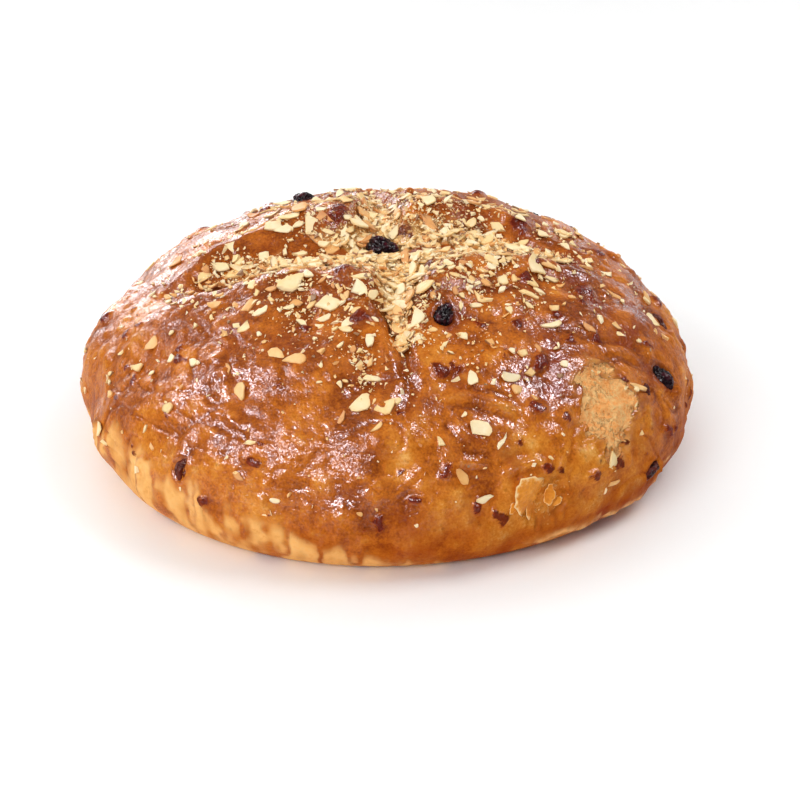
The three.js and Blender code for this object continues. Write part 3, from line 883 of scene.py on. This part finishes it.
crustLook = dict(
    tones=(
        (0.05, srgb(90, 34, 8)), (0.28, srgb(148, 70, 14)), (0.5, srgb(196, 106, 26)),
        (0.74, srgb(220, 138, 46)), (1.0, srgb(242, 184, 100)),
    ),
    bareTones=((0.25, srgb(212, 134, 60)), (0.5, srgb(242, 180, 104)), (0.8, srgb(254, 212, 144))),
    crumbTones=((0.1, srgb(214, 114, 48)), (0.36, srgb(255, 174, 98)), (0.75, srgb(255, 208, 142))),
    fruitTones=((0.2, srgb(82, 14, 6)), (0.5, srgb(132, 36, 14)), (0.85, srgb(186, 90, 32))),
    # the foot colour is painted shade near the floor on the sides, and the baked brown of the underside
    rust=srgb(132, 44, 16), foot=srgb(152, 56, 0), freckle=srgb(112, 44, 14), crackShade=srgb(142, 72, 30),
    floor=srgb(228, 180, 106), dust=srgb(249, 216, 154),
    warmth=srgb(255, 196, 120), gloss=srgb(246, 244, 255),
    amounts=dict(foot=0.8, freckles=0.35, pinholes=0.25, floor=0.85, dust=0.85, fruit=0.92, cracks=0.35),
    noises=dict(  # size, detail, roughness
        mid=(6.5, 4.0, 0.62), fine=(1.8, 3.0, 0.6), grit=(0.9, 1.0), grain=(1.05, 1.0, 0.5),
        dimples=(3.4, 1.0, 0.5),
    ),
    roughness=0.6, wetRoughness=0.18, plainGloss=0.05, wetGloss=1.0,
)


def finishCrust(look):
    f = Finish("glazed crust")
    names = ("glaze", "tear", "fruit", "hollow", "tone", "sheen", "dust", "foot", "ruddy")
    glaze, tear, fruit, hollow, tone, sheen, dust, foot, ruddy = (f.mask(name) for name in names)
    mid, fine, grit, grain, dimples = (f.noise(*noise) for noise in look["noises"].values())
    amounts = look["amounts"]

    # baked skin: its tone, rusty patches, painted shade towards the foot (on the underside, its baked brown),
    # freckles and pinholes
    colour = f.ramp(tone + mid.swing(0.42) + fine.swing(0.34) + grit.swing(0.28), look["tones"])
    rusty = f.between(f.noise(13.0, 4.0, 0.6), 0.46, 0.68) * ruddy
    colour = f.blend(rusty, colour, look["rust"])
    colour = f.blend(foot * amounts["foot"], colour, look["foot"])
    freckles = f.spots(2.7, fine.swing(0.5), 0.1, 0.32) * f.between(mid, 0.46, 0.6)
    colour = f.blend(freckles * amounts["freckles"], colour, look["freckle"])
    pinholes = f.spots(1.7, grit.swing(0.3), 0.08, 0.24) * f.between(dimples, 0.45, 0.6)
    colour = f.blend(pinholes * amounts["pinholes"], colour, look["freckle"])

    # dough below the glaze, the floor of the cut, almond dust, and fruit that shows through
    edge = f.between(glaze + mid.swing(0.4) + fine.swing(0.6), 0.15, 0.85)
    colour = f.blend(edge, f.ramp(mid * 0.55 + fine * 0.45, look["bareTones"]), colour)
    floor = f.between(hollow + mid.swing(0.6), 0.1, 0.7, 0.0, amounts["floor"])
    colour = f.blend(floor, colour, look["floor"])
    dusty = f.spots(1.2, grit.swing(0.4), 0.24, 0.46) * f.between(dust + mid.swing(1.4), 0.35, 0.75)
    colour = f.blend(dusty * amounts["dust"], colour, look["dust"])
    berry = f.between(fruit + fine.swing(1.5) + mid.swing(0.9), 0.3, 0.95)
    berryTone = f.ramp(1.1 - berry * 0.5 - fine * 0.6, look["fruitTones"])
    colour = f.blend(berry * amounts["fruit"], colour, berryTone)

    # crumb of the torn places, its cracks darkened as painted shade
    torn = f.between(tear + fine.swing(0.5), 0.4, 0.6)
    fibres = f.noise(2.6, 2.0, 0.6, (1.0, 1.0, 0.3))
    pores = f.cells(2.1) * 0.2 + fine.swing(0.7) + grit.swing(0.5) + fibres.swing(0.9) + 0.45
    cracks = f.between(abs(fibres - 0.5), 0.0, 0.04, 1.0, 0.0) * f.between(mid, 0.46, 0.58)
    crumb = f.ramp(pores * 0.8 + mid * 0.2, look["crumbTones"])
    # painted shade in the crumb's cracks
    crumb = f.blend(cracks * amounts["cracks"], crumb, look["crackShade"])
    colour = f.blend(torn, colour, crumb)

    # wet gloss over the plain skin
    speckle = f.between(f.noise(0.75, 2.0, 0.6), 0.42, 0.6, 0.12, 1.0)
    shine = sheen * (1.0 - torn) * (1.0 - dusty) * speckle
    height = grain * 0.2 + dimples * 0.4 + dusty * 0.25 + berry * grit * 0.3
    relief = f.bump(height + torn * (pores * 0.9 - cracks * 0.4))
    f.put(Base_Color=colour, Normal=relief, Roughness=look["roughness"])
    f.put(Specular_IOR_Level=look["plainGloss"], Specular_Tint=look["warmth"])
    f.over(
        shine, Base_Color=colour, Normal=relief, Roughness=look["wetRoughness"] + mid * 0.1 - berry * 0.06,
        Specular_IOR_Level=look["wetGloss"], Specular_Tint=look["gloss"],
    )
    return f


finishCrust(crustLook).on(breadCrust)

# almonds
almondSpread = dict(least=0.02, middle=0.7, reach=0.47, inCut=0.3)  # how thickly almonds lie
flakes = dict(
    count=96, seed=7, length=(14.0, 5.2), lengthFall=0.45, sideShare=0.62, fullCover=0.4,
    slimness=(0.36, 0.6), spacing=0.45, lowestDrop=88.0, thick=0.95, lift=0.3, corners=20,
)
# gathering draws them to where almonds lie thickest, lowest is how far down the loaf they go,
# and step is the reach over which the crust's slope is taken
smallFlakes = dict(
    count=1020, seed=19, length=(2.4, 9.6), lengthFall=1.5, slimness=(0.32, 0.72), thick=(0.5, 0.8),
    spacing=0.3, gathering=1.5, lowest=0.05, clear=1.0, tilt=0.16, lift=0.25, corners=12, step=0.02,
)
slivers = dict(
    count=330, seed=37, length=(3.2, 8.5), slimness=(0.28, 0.6), thick=(0.6, 1.0), inCut=(0.2, 0.8),
    gathering=2.5, lowest=0.6, clear=-0.6, tilt=0.2, cutTilt=0.35, lift=0.4, heap=2.4, corners=12, step=0.03,
)
chopped = dict(count=1650, seed=23, size=(0.9, 2.7), heap=2.0, gathering=1.5)
crumbs = dict(count=8400, seed=29, size=(0.35, 1.1), heap=1.5, gathering=2.0)
brokenForm = dict(
    kinds=14, corners=9, stretch=((1.0, 1.9), (0.8, 1.2), (0.5, 0.9)), sizeFall=1.6,
    lowest=0.02, clear=0.0, tilt=0.4, lift=0.2, step=0.02,
)
toasting = dict(  # the pale ones are beta draws
    pale=(1.0, 3.2), brown=(0.5, 0.9), brownShare=0.14, skin=0.25, bitPale=(1.0, 3.0), bitSkin=0.05,
)


def almondCover(points):
    depth, lip = cutShare(points)
    opened = cut["depth"] * depth - cut["lipHeight"] * lip * (1.0 - depth) ** 2
    inCut = almondSpread["inCut"] * np.maximum(opened, 0.0) / cut["depth"]
    middle = almondSpread["middle"] * hump(awayFromCut(points), almondSpread["reach"])
    return almondSpread["least"] + middle + inCut


def crowded(point, length, taken, spacing):
    return any(np.linalg.norm(point - spot) < spacing * (length + other) for spot, other, *_ in taken)


def placeFlakes():
    # the same draws, in the same order, as for the flakes of the solids
    draw = drawsFrom(flakes["seed"])
    placed, lowest = [], math.cos(math.radians(flakes["lowestDrop"]))
    long, short = flakes["length"]
    while len(placed) < flakes["count"]:
        bearing, drop = 360.0 * draw(), math.degrees(math.acos(draw(1.0, lowest)))
        chance, slimness, turn = draw(), draw(*flakes["slimness"]), 360.0 * draw()
        draw()  # the solids shape the outline with this one
        direction = towards(np.array([bearing]), np.array([drop]))
        cover = almondCover(plainPoint(np.radians([bearing]), direction[:, 2]))[0]
        if chance > cover:
            continue
        point = crustPoint(direction)[0]
        ranked = long + (short - long) * (len(placed) / flakes["count"]) ** flakes["lengthFall"]
        share = min(cover / flakes["fullCover"], 1.0)
        length = ranked * (flakes["sideShare"] + (1.0 - flakes["sideShare"]) * share)
        onRaisin = any(np.linalg.norm(point - spot) < length / 2 + reach for spot, reach in raisinSpots)
        if not (onRaisin or crowded(point, length, placed, flakes["spacing"])):
            placed.append((point, length, slimness, turn, direction[0]))
    return placed


placedFlakes = placeFlakes()

# slices of almond and skin
sliceForm = dict(
    jitter=0.3, taper=0.15, breaks=(2, 6), breakAt=(0.3, 0.8), filled=0.92, wobble=0.06,
    curl=(-0.3, 0.6), curlLength=5.0, twist=0.5, twistLength=3.0, skinFrom=0.3,
    rings=(  # from the upper face to the lower one: reach, level, how far it is rim
        (0.6, 1.0, 0.0), (0.95, 1.0, 0.5), (1.0, 0.7, 1.0),
        (1.0, -0.7, 1.0), (0.95, -1.0, 0.5), (0.6, -1.0, 0.0),
    ),
)


class Strewn:
    # gathers many small bodies into one mesh
    def __init__(self):
        self.points, self.faces, self.masks, self.total = [], [], {}, 0

    def add(self, points, faces, **masks):
        self.points.append(points)
        self.faces += [face + self.total for face in faces]
        for key, values in masks.items():
            self.masks.setdefault(key, []).append(np.broadcast_to(values, len(points)))
        self.total += len(points)

    def piece(self, name, flat=False):
        masks = {key: np.concatenate(values) for key, values in self.masks.items()}
        return meshPiece(name, np.concatenate(self.points), self.faces, masks, flat)


def sliceOutline(draws, length, slimness, count):
    # an almond slice, broken off straight on some sides
    form = sliceForm
    angle = 2.0 * math.pi * (np.arange(count) + form["jitter"] * draws.uniform(-1, 1, count)) / count
    x = 0.5 * length * np.cos(angle)
    y = 0.5 * length * slimness * np.sin(angle) * (1.0 - form["taper"] * np.cos(angle))
    for _ in range(draws.integers(*form["breaks"])):
        tilt = draws.uniform(0, 2 * math.pi)
        c, s = math.cos(tilt), math.sin(tilt)
        limit = 0.5 * length * math.hypot(c, slimness * s) * draws.uniform(*form["breakAt"])
        over = np.maximum(x * c + y * s - limit, 0.0)
        x, y = x - over * c, y - over * s
    grown = form["filled"] * length / max(np.ptp(x), np.ptp(y))
    wobble = grown * (1.0 + draws.uniform(-form["wobble"], form["wobble"], count))
    return np.stack([(x - x.mean()) * wobble, (y - y.mean()) * wobble], -1)


def addSlice(strewn, draws, place, axes, outline, thick, lift):
    count, length, rings = len(outline), np.ptp(outline[:, 0]), sliceForm["rings"]
    curl = draws.uniform(*sliceForm["curl"]) / max(length, sliceForm["curlLength"])
    twist = draws.uniform(-sliceForm["twist"], sliceForm["twist"]) / max(length, sliceForm["twistLength"])
    middle = outline.mean(0)
    local, rim = [], []
    for reach, level, edge in rings:
        flat = middle + (outline - middle) * reach
        z = 0.5 * thick * level + curl * flat[:, 0] ** 2 + twist * flat[:, 0] * flat[:, 1]
        local.append(np.column_stack([flat, z]))
        rim.append(np.full(count, edge))
    local = np.concatenate(local + [[[*middle, 0.5 * thick], [*middle, -0.5 * thick]]])
    rim = np.concatenate(rim + [[0.0, 0.0]])
    local[:, 2] += lift
    faces = []
    order = np.arange(count)
    for k in range(len(rings) - 1):
        faces += list(ringQuads(order + k * count, order + (k + 1) * count))
    top, under, last = len(local) - 2, len(local) - 1, (len(rings) - 1) * count
    faces += [np.array([top, i, (i + 1) % count]) for i in order]
    faces += [np.array([under, last + (i + 1) % count, last + i]) for i in order]
    brown = draws.random() < toasting["brownShare"]
    toast = draws.uniform(*toasting["brown"]) if brown else draws.beta(*toasting["pale"])
    oneSide = np.tile(np.sin(2 * math.pi * order / count) > sliceForm["skinFrom"], len(rings))
    skin = rim * np.concatenate([oneSide, [False, False]]) * float(draws.random() < toasting["skin"])
    strewn.add(setDown(local, place, axes), faces, toast=toast, rim=rim, skin=skin)


# where small almonds lie thicker: bearing, drop, radius, share
drifts = (
    (-82, 29, 12, 0.6), (-83, 37, 9, 0.45), (-98, 41, 9, 0.3), (20, 36, 12, 0.35), (-4, 32, 10, 0.3),
    (-54, 24, 9, 0.3), (-97, 46, 13, 0.3), (-92, 53, 9, 0.2), (-126, 33, 12, 0.25), (-173, 35, 9, 0.3),
    (-86, 35, 10, 0.35), (-43, 34, 9, 0.2),
)
bulgeBareness = dict(spread=1.25, amount=0.9)  # almonds slid off the fruit that stands out most


def strewnCover(points):
    cover = almondCover(points)
    for bearing, drop, radius, share in drifts:
        cover = cover + share * moundShare(points, plainSpot(bearing, drop), radius)
    for bearing, drop, radius, _ in bulges:
        bulge = moundShare(points, plainSpot(bearing, drop), bulgeBareness["spread"] * radius)
        cover = cover * (1.0 - bulgeBareness["amount"] * bulge)
    return np.minimum(cover * (1.0 - slopeShare(points)), 1.0)


def strewnDirections(draws, count, form, batch=4000):
    # directions spread as thickly as the almonds lie
    kept = np.zeros((0, 3))
    while len(kept) < count:
        bearing, up = draws.uniform(-math.pi, math.pi, batch), draws.uniform(form["lowest"], 1.0, batch)
        flat = np.sqrt(1.0 - up * up)
        found = np.stack([flat * np.cos(bearing), flat * np.sin(bearing), up], -1)
        taken = draws.random(batch) < strewnCover(plainPoint(bearing, up)) ** form["gathering"]
        kept = np.concatenate([kept, found[taken]])
    return kept[:count]


def clearOfRaisins(points, reach):
    far = np.ones(len(points), bool)
    for spot, size in raisinSpots:
        far &= np.linalg.norm(points - spot, axis=1) > size + reach
    return far


def tilted(axes, draws, most):
    ahead, across, normal = axes
    lean, swing = draws.uniform(-most, most), draws.uniform(-most, most)
    normal = unit(normal + math.tan(lean) * ahead + math.tan(swing) * across)
    ahead = unit(ahead - normal * np.dot(ahead, normal))
    return ahead, np.cross(normal, ahead), normal


def lying(directions, turn, step=0.01):
    # axes and places on the crust, levelled out and raised where pieces fill the cut, and the depth there
    ahead, _, normal, place = crustFrame(directions, turn, step)
    depth, _ = cutShare(place)
    level = heap["level"] * depth[:, None]
    normal = unit(normal * (1.0 - level) + level * [0.0, 0.0, 1.0])
    ahead = unit(ahead - normal * np.sum(ahead * normal, axis=1, keepdims=True))
    place = place + heapRise(place, depth)[:, None] * normal
    return np.stack([ahead, np.cross(normal, ahead), normal], 1), place, depth


def makeFlakes():
    strewn = Strewn()
    draws = np.random.default_rng(flakes["seed"])
    _, lengths, slimness, turns, directions = zip(*placedFlakes)
    axes, places, _ = lying(np.array(directions), np.array(turns))
    for k, length in enumerate(lengths):
        outline = sliceOutline(draws, length, slimness[k], flakes["corners"])
        addSlice(strewn, draws, places[k], axes[k], outline, flakes["thick"], flakes["lift"])
    return strewn.piece("almondFlakes")


def makeSmallFlakes(form):
    strewn = Strewn()
    draws = np.random.default_rng(form["seed"])
    directions = strewnDirections(draws, form["count"], form)
    axes, places, _ = lying(directions, draws.uniform(0, 360, len(directions)), form["step"])
    short, long = form["length"]
    taken = [(spot, length) for spot, length, *_ in placedFlakes]
    for k in np.flatnonzero(clearOfRaisins(places, form["clear"])):
        length = short + (long - short) * draws.random() ** form["lengthFall"]
        if crowded(places[k], length, taken, form["spacing"]):
            continue
        taken.append((places[k], length))
        tipped = tilted(axes[k], draws, form["tilt"])
        outline = sliceOutline(draws, length, draws.uniform(*form["slimness"]), form["corners"])
        addSlice(strewn, draws, places[k], tipped, outline, draws.uniform(*form["thick"]), form["lift"])
    return strewn.piece("almondBits")


def makeSlivers(form):
    # the loose heap in the middle of the cut
    strewn = Strewn()
    draws = np.random.default_rng(form["seed"])
    directions = strewnDirections(draws, 3 * form["count"], form)
    depth, _ = cutShare(crustPoint(directions))
    directions = directions[depth > draws.uniform(*form["inCut"], len(depth))][:form["count"]]
    axes, places, depth = lying(directions, draws.uniform(0, 360, len(directions)), form["step"])
    for k in np.flatnonzero(clearOfRaisins(places, form["clear"])):
        length = draws.uniform(*form["length"])
        lift = form["lift"] + form["heap"] * depth[k] * draws.random()
        tipped = tilted(axes[k], draws, form["tilt"] + form["cutTilt"] * depth[k])
        outline = sliceOutline(draws, length, draws.uniform(*form["slimness"]), form["corners"])
        addSlice(strewn, draws, places[k], tipped, outline, draws.uniform(*form["thick"]), lift)
    return strewn.piece("almondSlivers")


def brokenBits(draws):
    # a few angular fragments, used over and over at other sizes and turns
    bits = []
    for _ in range(brokenForm["kinds"]):
        body = bmesh.new()
        for spot in draws.uniform(-0.5, 0.5, (brokenForm["corners"], 3)):
            body.verts.new(spot)
        hull = bmesh.ops.convex_hull(body, input=body.verts)
        inner = [v for v in hull["geom_interior"] if isinstance(v, bmesh.types.BMVert)]
        bmesh.ops.delete(body, geom=inner, context="VERTS")
        body.verts.index_update()
        faces = [np.array([v.index for v in face.verts]) for face in body.faces]
        bits.append((np.array([v.co for v in body.verts]), faces))
        body.free()
    return bits


def makeBroken(name, form):
    strewn = Strewn()
    draws = np.random.default_rng(form["seed"])
    bits = brokenBits(draws)
    directions = strewnDirections(draws, form["count"], dict(brokenForm, gathering=form["gathering"]))
    axes, places, depth = lying(directions, draws.uniform(0, 360, len(directions)), brokenForm["step"])
    small, large = form["size"]
    for k in np.flatnonzero(clearOfRaisins(places, brokenForm["clear"])):
        size = small + (large - small) * draws.random() ** brokenForm["sizeFall"]
        ball, faces = bits[draws.integers(len(bits))]
        local = ball * [size * draws.uniform(*stretch) for stretch in brokenForm["stretch"]]
        local[:, 2] += brokenForm["lift"] * size + form["heap"] * depth[k] * draws.random()
        points = setDown(local, places[k], tilted(axes[k], draws, brokenForm["tilt"]))
        toast, skin = draws.beta(*toasting["bitPale"]), float(draws.random() < toasting["bitSkin"])
        strewn.add(points, faces, toast=toast, rim=0.0, skin=skin)
    return strewn.piece(name, True)


almondLook = dict(
    tones=(
        (0.0, srgb(253, 234, 192)), (0.28, srgb(248, 213, 146)), (0.55, srgb(236, 174, 98)),
        (1.0, srgb(198, 112, 54)),
    ),
    skin=srgb(128, 66, 28), gloss=0.35,
)


def finishAlmond(look):
    f = Finish("almond")
    toast, rim, skin = f.mask("toast"), f.mask("rim"), f.mask("skin")
    fine, mottle = f.noise(1.2, 3.0), f.noise(4.0, 3.0)
    toast = toast * 0.85 + rim * 0.12 + mottle.swing(0.45)
    colour = f.blend(skin * 0.8, f.ramp(toast, look["tones"]), look["skin"])
    f.put(Base_Color=colour, Roughness=0.5 + fine * 0.2, Normal=f.bump(fine * 0.12 + mottle * 0.3))
    f.put(Specular_IOR_Level=look["gloss"])
    return f


almondFinish = finishAlmond(almondLook)
almondPieces = [
    makeFlakes(), makeSmallFlakes(smallFlakes), makeSlivers(slivers),
    makeBroken("almondChopped", chopped), makeBroken("almondCrumbs", crumbs),
]
for piece in almondPieces:
    settle(piece, "crust", "bread")
    almondFinish.on(piece)
print("almonds:", ", ".join(f"{piece.name} {len(piece.data.polygons)}" for piece in almondPieces))

# skin that peeled off at the torn places: bearing, drop, turn, length, slimness, lift, hang
peels = (
    (-61.2, 83.4, 80, 8.5, 0.45, 0.6, 0.1), (-59.8, 86, 30, 5, 0.6, 0.5, 0.1),
    (-68.2, 84.6, 50, 5, 0.5, 0.4, 0.05), (146, 77, 60, 9, 0.6, 0.5, 0.1),
    (153, 66, 100, 8, 0.5, 0.5, 0.1),
)
flap = dict(
    at=(-65.2, 83.2, 0), lift=0.9, hang=0.11, ragged=0.45, sideSteps=3,
    outline=(
        (7, 3), (5.2, 7), (0.9, 9), (-4.3, 9), (-7, 5), (-7.4, -1), (-4.6, -5), (-1.4, -1.6), (-1.7, -6),
        (1.7, -10), (5.7, -10.6), (6.2, -4),
    ),
)
peelForm = dict(seed=53, thick=0.4, corners=36, ragged=0.1, waves=range(2, 8), waveHeight=0.22)
peelLook = dict(
    tones=((0.0, srgb(204, 106, 14)), (0.4, srgb(238, 152, 44)), (1.0, srgb(255, 218, 156))),
    roughness=0.35, gloss=0.2,
)


def hanging(axes, hang):
    # tips a flake so that its lower edge stands off
    ahead, across, normal = axes
    normal = unit(normal + hang * across)
    return ahead, unit(across - normal * np.dot(across, normal)), normal


def raggedOutline(draws, length, slimness):
    count = peelForm["corners"]
    angle = 2.0 * math.pi * np.arange(count) / count
    reach = 1.0 + draws.uniform(-peelForm["ragged"], peelForm["ragged"], count)
    for waves in peelForm["waves"]:
        height = draws.uniform(0.0, peelForm["waveHeight"]) / math.sqrt(waves)
        reach += height * np.cos(waves * angle + draws.uniform(0, 2 * math.pi))
    return 0.5 * length * np.stack([reach * np.cos(angle), slimness * reach * np.sin(angle)], -1)


def makePeels():
    strewn = Strewn()
    draws = np.random.default_rng(peelForm["seed"])
    corners = np.array(flap["outline"], float)
    steps = np.arange(flap["sideSteps"])[:, None] / flap["sideSteps"]
    outline = np.concatenate([a + steps * (b - a) for a, b in zip(corners, np.roll(corners, -1, 0))])
    outline += draws.uniform(-flap["ragged"], flap["ragged"], outline.shape)
    *axes, place = frameAt(*flap["at"])
    addSlice(strewn, draws, place, hanging(axes, flap["hang"]), outline, peelForm["thick"], flap["lift"])
    for bearing, drop, turn, length, slimness, lift, hang in peels:
        *axes, place = frameAt(bearing, drop, turn)
        outline = raggedOutline(draws, length, slimness)
        addSlice(strewn, draws, place, hanging(axes, hang), outline, peelForm["thick"], lift)
    return strewn.piece("peeledSkin")


def finishPeel(look):
    f = Finish("peeled skin")
    fine, mottle = f.noise(1.3, 3.0), f.noise(5.0, 3.0)
    edge = f.between(f.mask("rim") + fine.swing(0.6) + mottle.swing(0.5), 0.2, 0.8)
    colour = f.ramp(edge * 0.65 + mottle.swing(0.9) + fine.swing(0.5) + 0.28, look["tones"])
    f.put(Base_Color=colour, Roughness=look["roughness"], Normal=f.bump(fine * 0.2 + mottle * 1.6))
    f.put(Specular_IOR_Level=look["gloss"])
    return f


peeledSkin = makePeels()
settle(peeledSkin, "crust", "bread")
finishPeel(peelLook).on(peeledSkin)
print("peeled skin:", 1 + len(peels), "flakes")

# stage, light and camera
stage = dict(
    floor=4.0, floorColour=srgb(255, 255, 255), floorRoughness=0.7,
    skyColour=(1.0, 1.0, 1.0, 1.0), skyStrength=0.06, aim=(0.0, 0.0, 0.04),
)
lamps = dict(
    leftKey=dict(direction=(-0.76, 0.0, 0.6), distance=1.15, size=(0.9, 0.36), watts=3.4, mirrored=False),
    frontKey=dict(direction=(-0.42, -0.72, 0.52), distance=1.3, size=(0.75, 0.5), watts=7.0, mirrored=False),
    rightKey=dict(direction=(0.6, 0.06, 0.79), distance=1.1, size=(0.5, 0.4), watts=4.2, mirrored=False),
    topFill=dict(direction=(0.0, 0.1, 1.0), distance=2.0, size=(3.0, 3.0), watts=14.2, mirrored=False),
    frontFill=dict(direction=(0.1, -0.9, 0.42), distance=2.0, size=(2.0, 1.0), watts=3.4, mirrored=False),
    backFill=dict(direction=(0.0, 0.8, 0.6), distance=2.2, size=(3.0, 1.5), watts=8.0, mirrored=False),
    topBox=dict(direction=(0.0, 0.6, 0.8), distance=1.5, size=(1.6, 0.5), watts=3.4, mirrored=False),
    backWall=dict(direction=(0.0, 0.955, 0.297), distance=2.2, size=(3.6, 1.3), watts=5.0),
    rightStrip=dict(direction=(0.85, 0.45, 0.27), distance=1.8, size=(0.14, 0.8), watts=1.5),
    ridgeBox=dict(direction=(-0.43, 0.86, 0.25), distance=1.6, size=(0.95, 0.7), watts=22.0, lit=False),
    shoulderBox=dict(direction=(0.42, 0.9, 0.12), distance=1.6, size=(0.7, 0.4), watts=2.2, lit=False),
)
# small lamps that only the glaze mirrors: a row from the left to the front, and a pair on the right
sparks = dict(
    shared=dict(distance=1.2, size=(0.28, 0.22), lit=False),
    lamps=(  # direction, watts
        (-0.8, 0.22, 0.54, 2.6), (-0.76, -0.12, 0.63, 6.2), (-0.66, -0.45, 0.58, 8.0),
        (-0.46, -0.7, 0.53, 7.2), (-0.28, -0.72, 0.62, 7.2), (0.57, 0.08, 0.82, 6.5),
        (0.67, -0.12, 0.73, 6.5),
    ),
)
for k, (*way, watts) in enumerate(sparks["lamps"]):
    lamps[f"spark{k}"] = dict(sparks["shared"], direction=way, watts=watts)
view = dict(
    distance=767.3, elevation=28.2, offX=-0.72, offY=10.23, clipStart=0.05, sensor=36.0,
    image=800.0, focal=1861.0, axis=(384.8, 408.3),  # pixels of the photo
)


def makeStage():
    points = np.array([[-1, -1, 0], [1, -1, 0], [1, 1, 0], [-1, 1, 0]]) * stage["floor"] / mm / 2
    floor = meshPiece("studioFloor", points, np.array([[0, 1, 2, 3]]))
    f = Finish("studio floor")
    f.put(Base_Color=stage["floorColour"], Roughness=stage["floorRoughness"])
    f.on(floor)
    world = bpy.data.worlds.new("studio")
    world.use_nodes = True
    sky = world.node_tree.nodes["Background"].inputs
    sky["Color"].default_value, sky["Strength"].default_value = stage["skyColour"], stage["skyStrength"]
    bpy.context.scene.world = world
    for name, lamp in lamps.items():
        light = bpy.data.lights.new(name, "AREA")
        light.shape, light.size, light.size_y = "RECTANGLE", *lamp["size"]
        light.energy = lamp["watts"]
        holder = bpy.data.objects.new(name, light)
        way = Vector(lamp["direction"]).normalized()
        holder.location = way * lamp["distance"] + Vector(stage["aim"])
        holder.rotation_euler = way.to_track_quat("Z", "Y").to_euler()
        holder.visible_glossy, holder.visible_diffuse = lamp.get("mirrored", True), lamp.get("lit", True)
        bpy.context.scene.collection.objects.link(holder)
    bpy.context.scene.view_settings.view_transform = "Standard"


def makeCamera():
    lens = bpy.data.cameras.new("photo")
    lens.sensor_width, lens.lens = view["sensor"], view["sensor"] * view["focal"] / view["image"]
    lens.shift_x = 0.5 - view["axis"][0] / view["image"]
    lens.shift_y = view["axis"][1] / view["image"] - 0.5
    lens.clip_start = view["clipStart"]
    camera = bpy.data.objects.new("photo", lens)
    tilt = math.radians(view["elevation"])
    away = view["distance"] * mm
    camera.location = (view["offX"] * mm, view["offY"] * mm - away * math.cos(tilt), away * math.sin(tilt))
    camera.rotation_euler = (0.5 * math.pi - tilt, 0.0, 0.0)
    bpy.context.scene.collection.objects.link(camera)
    bpy.context.scene.camera = camera


makeStage()
makeCamera()
print("stage, light and camera set")
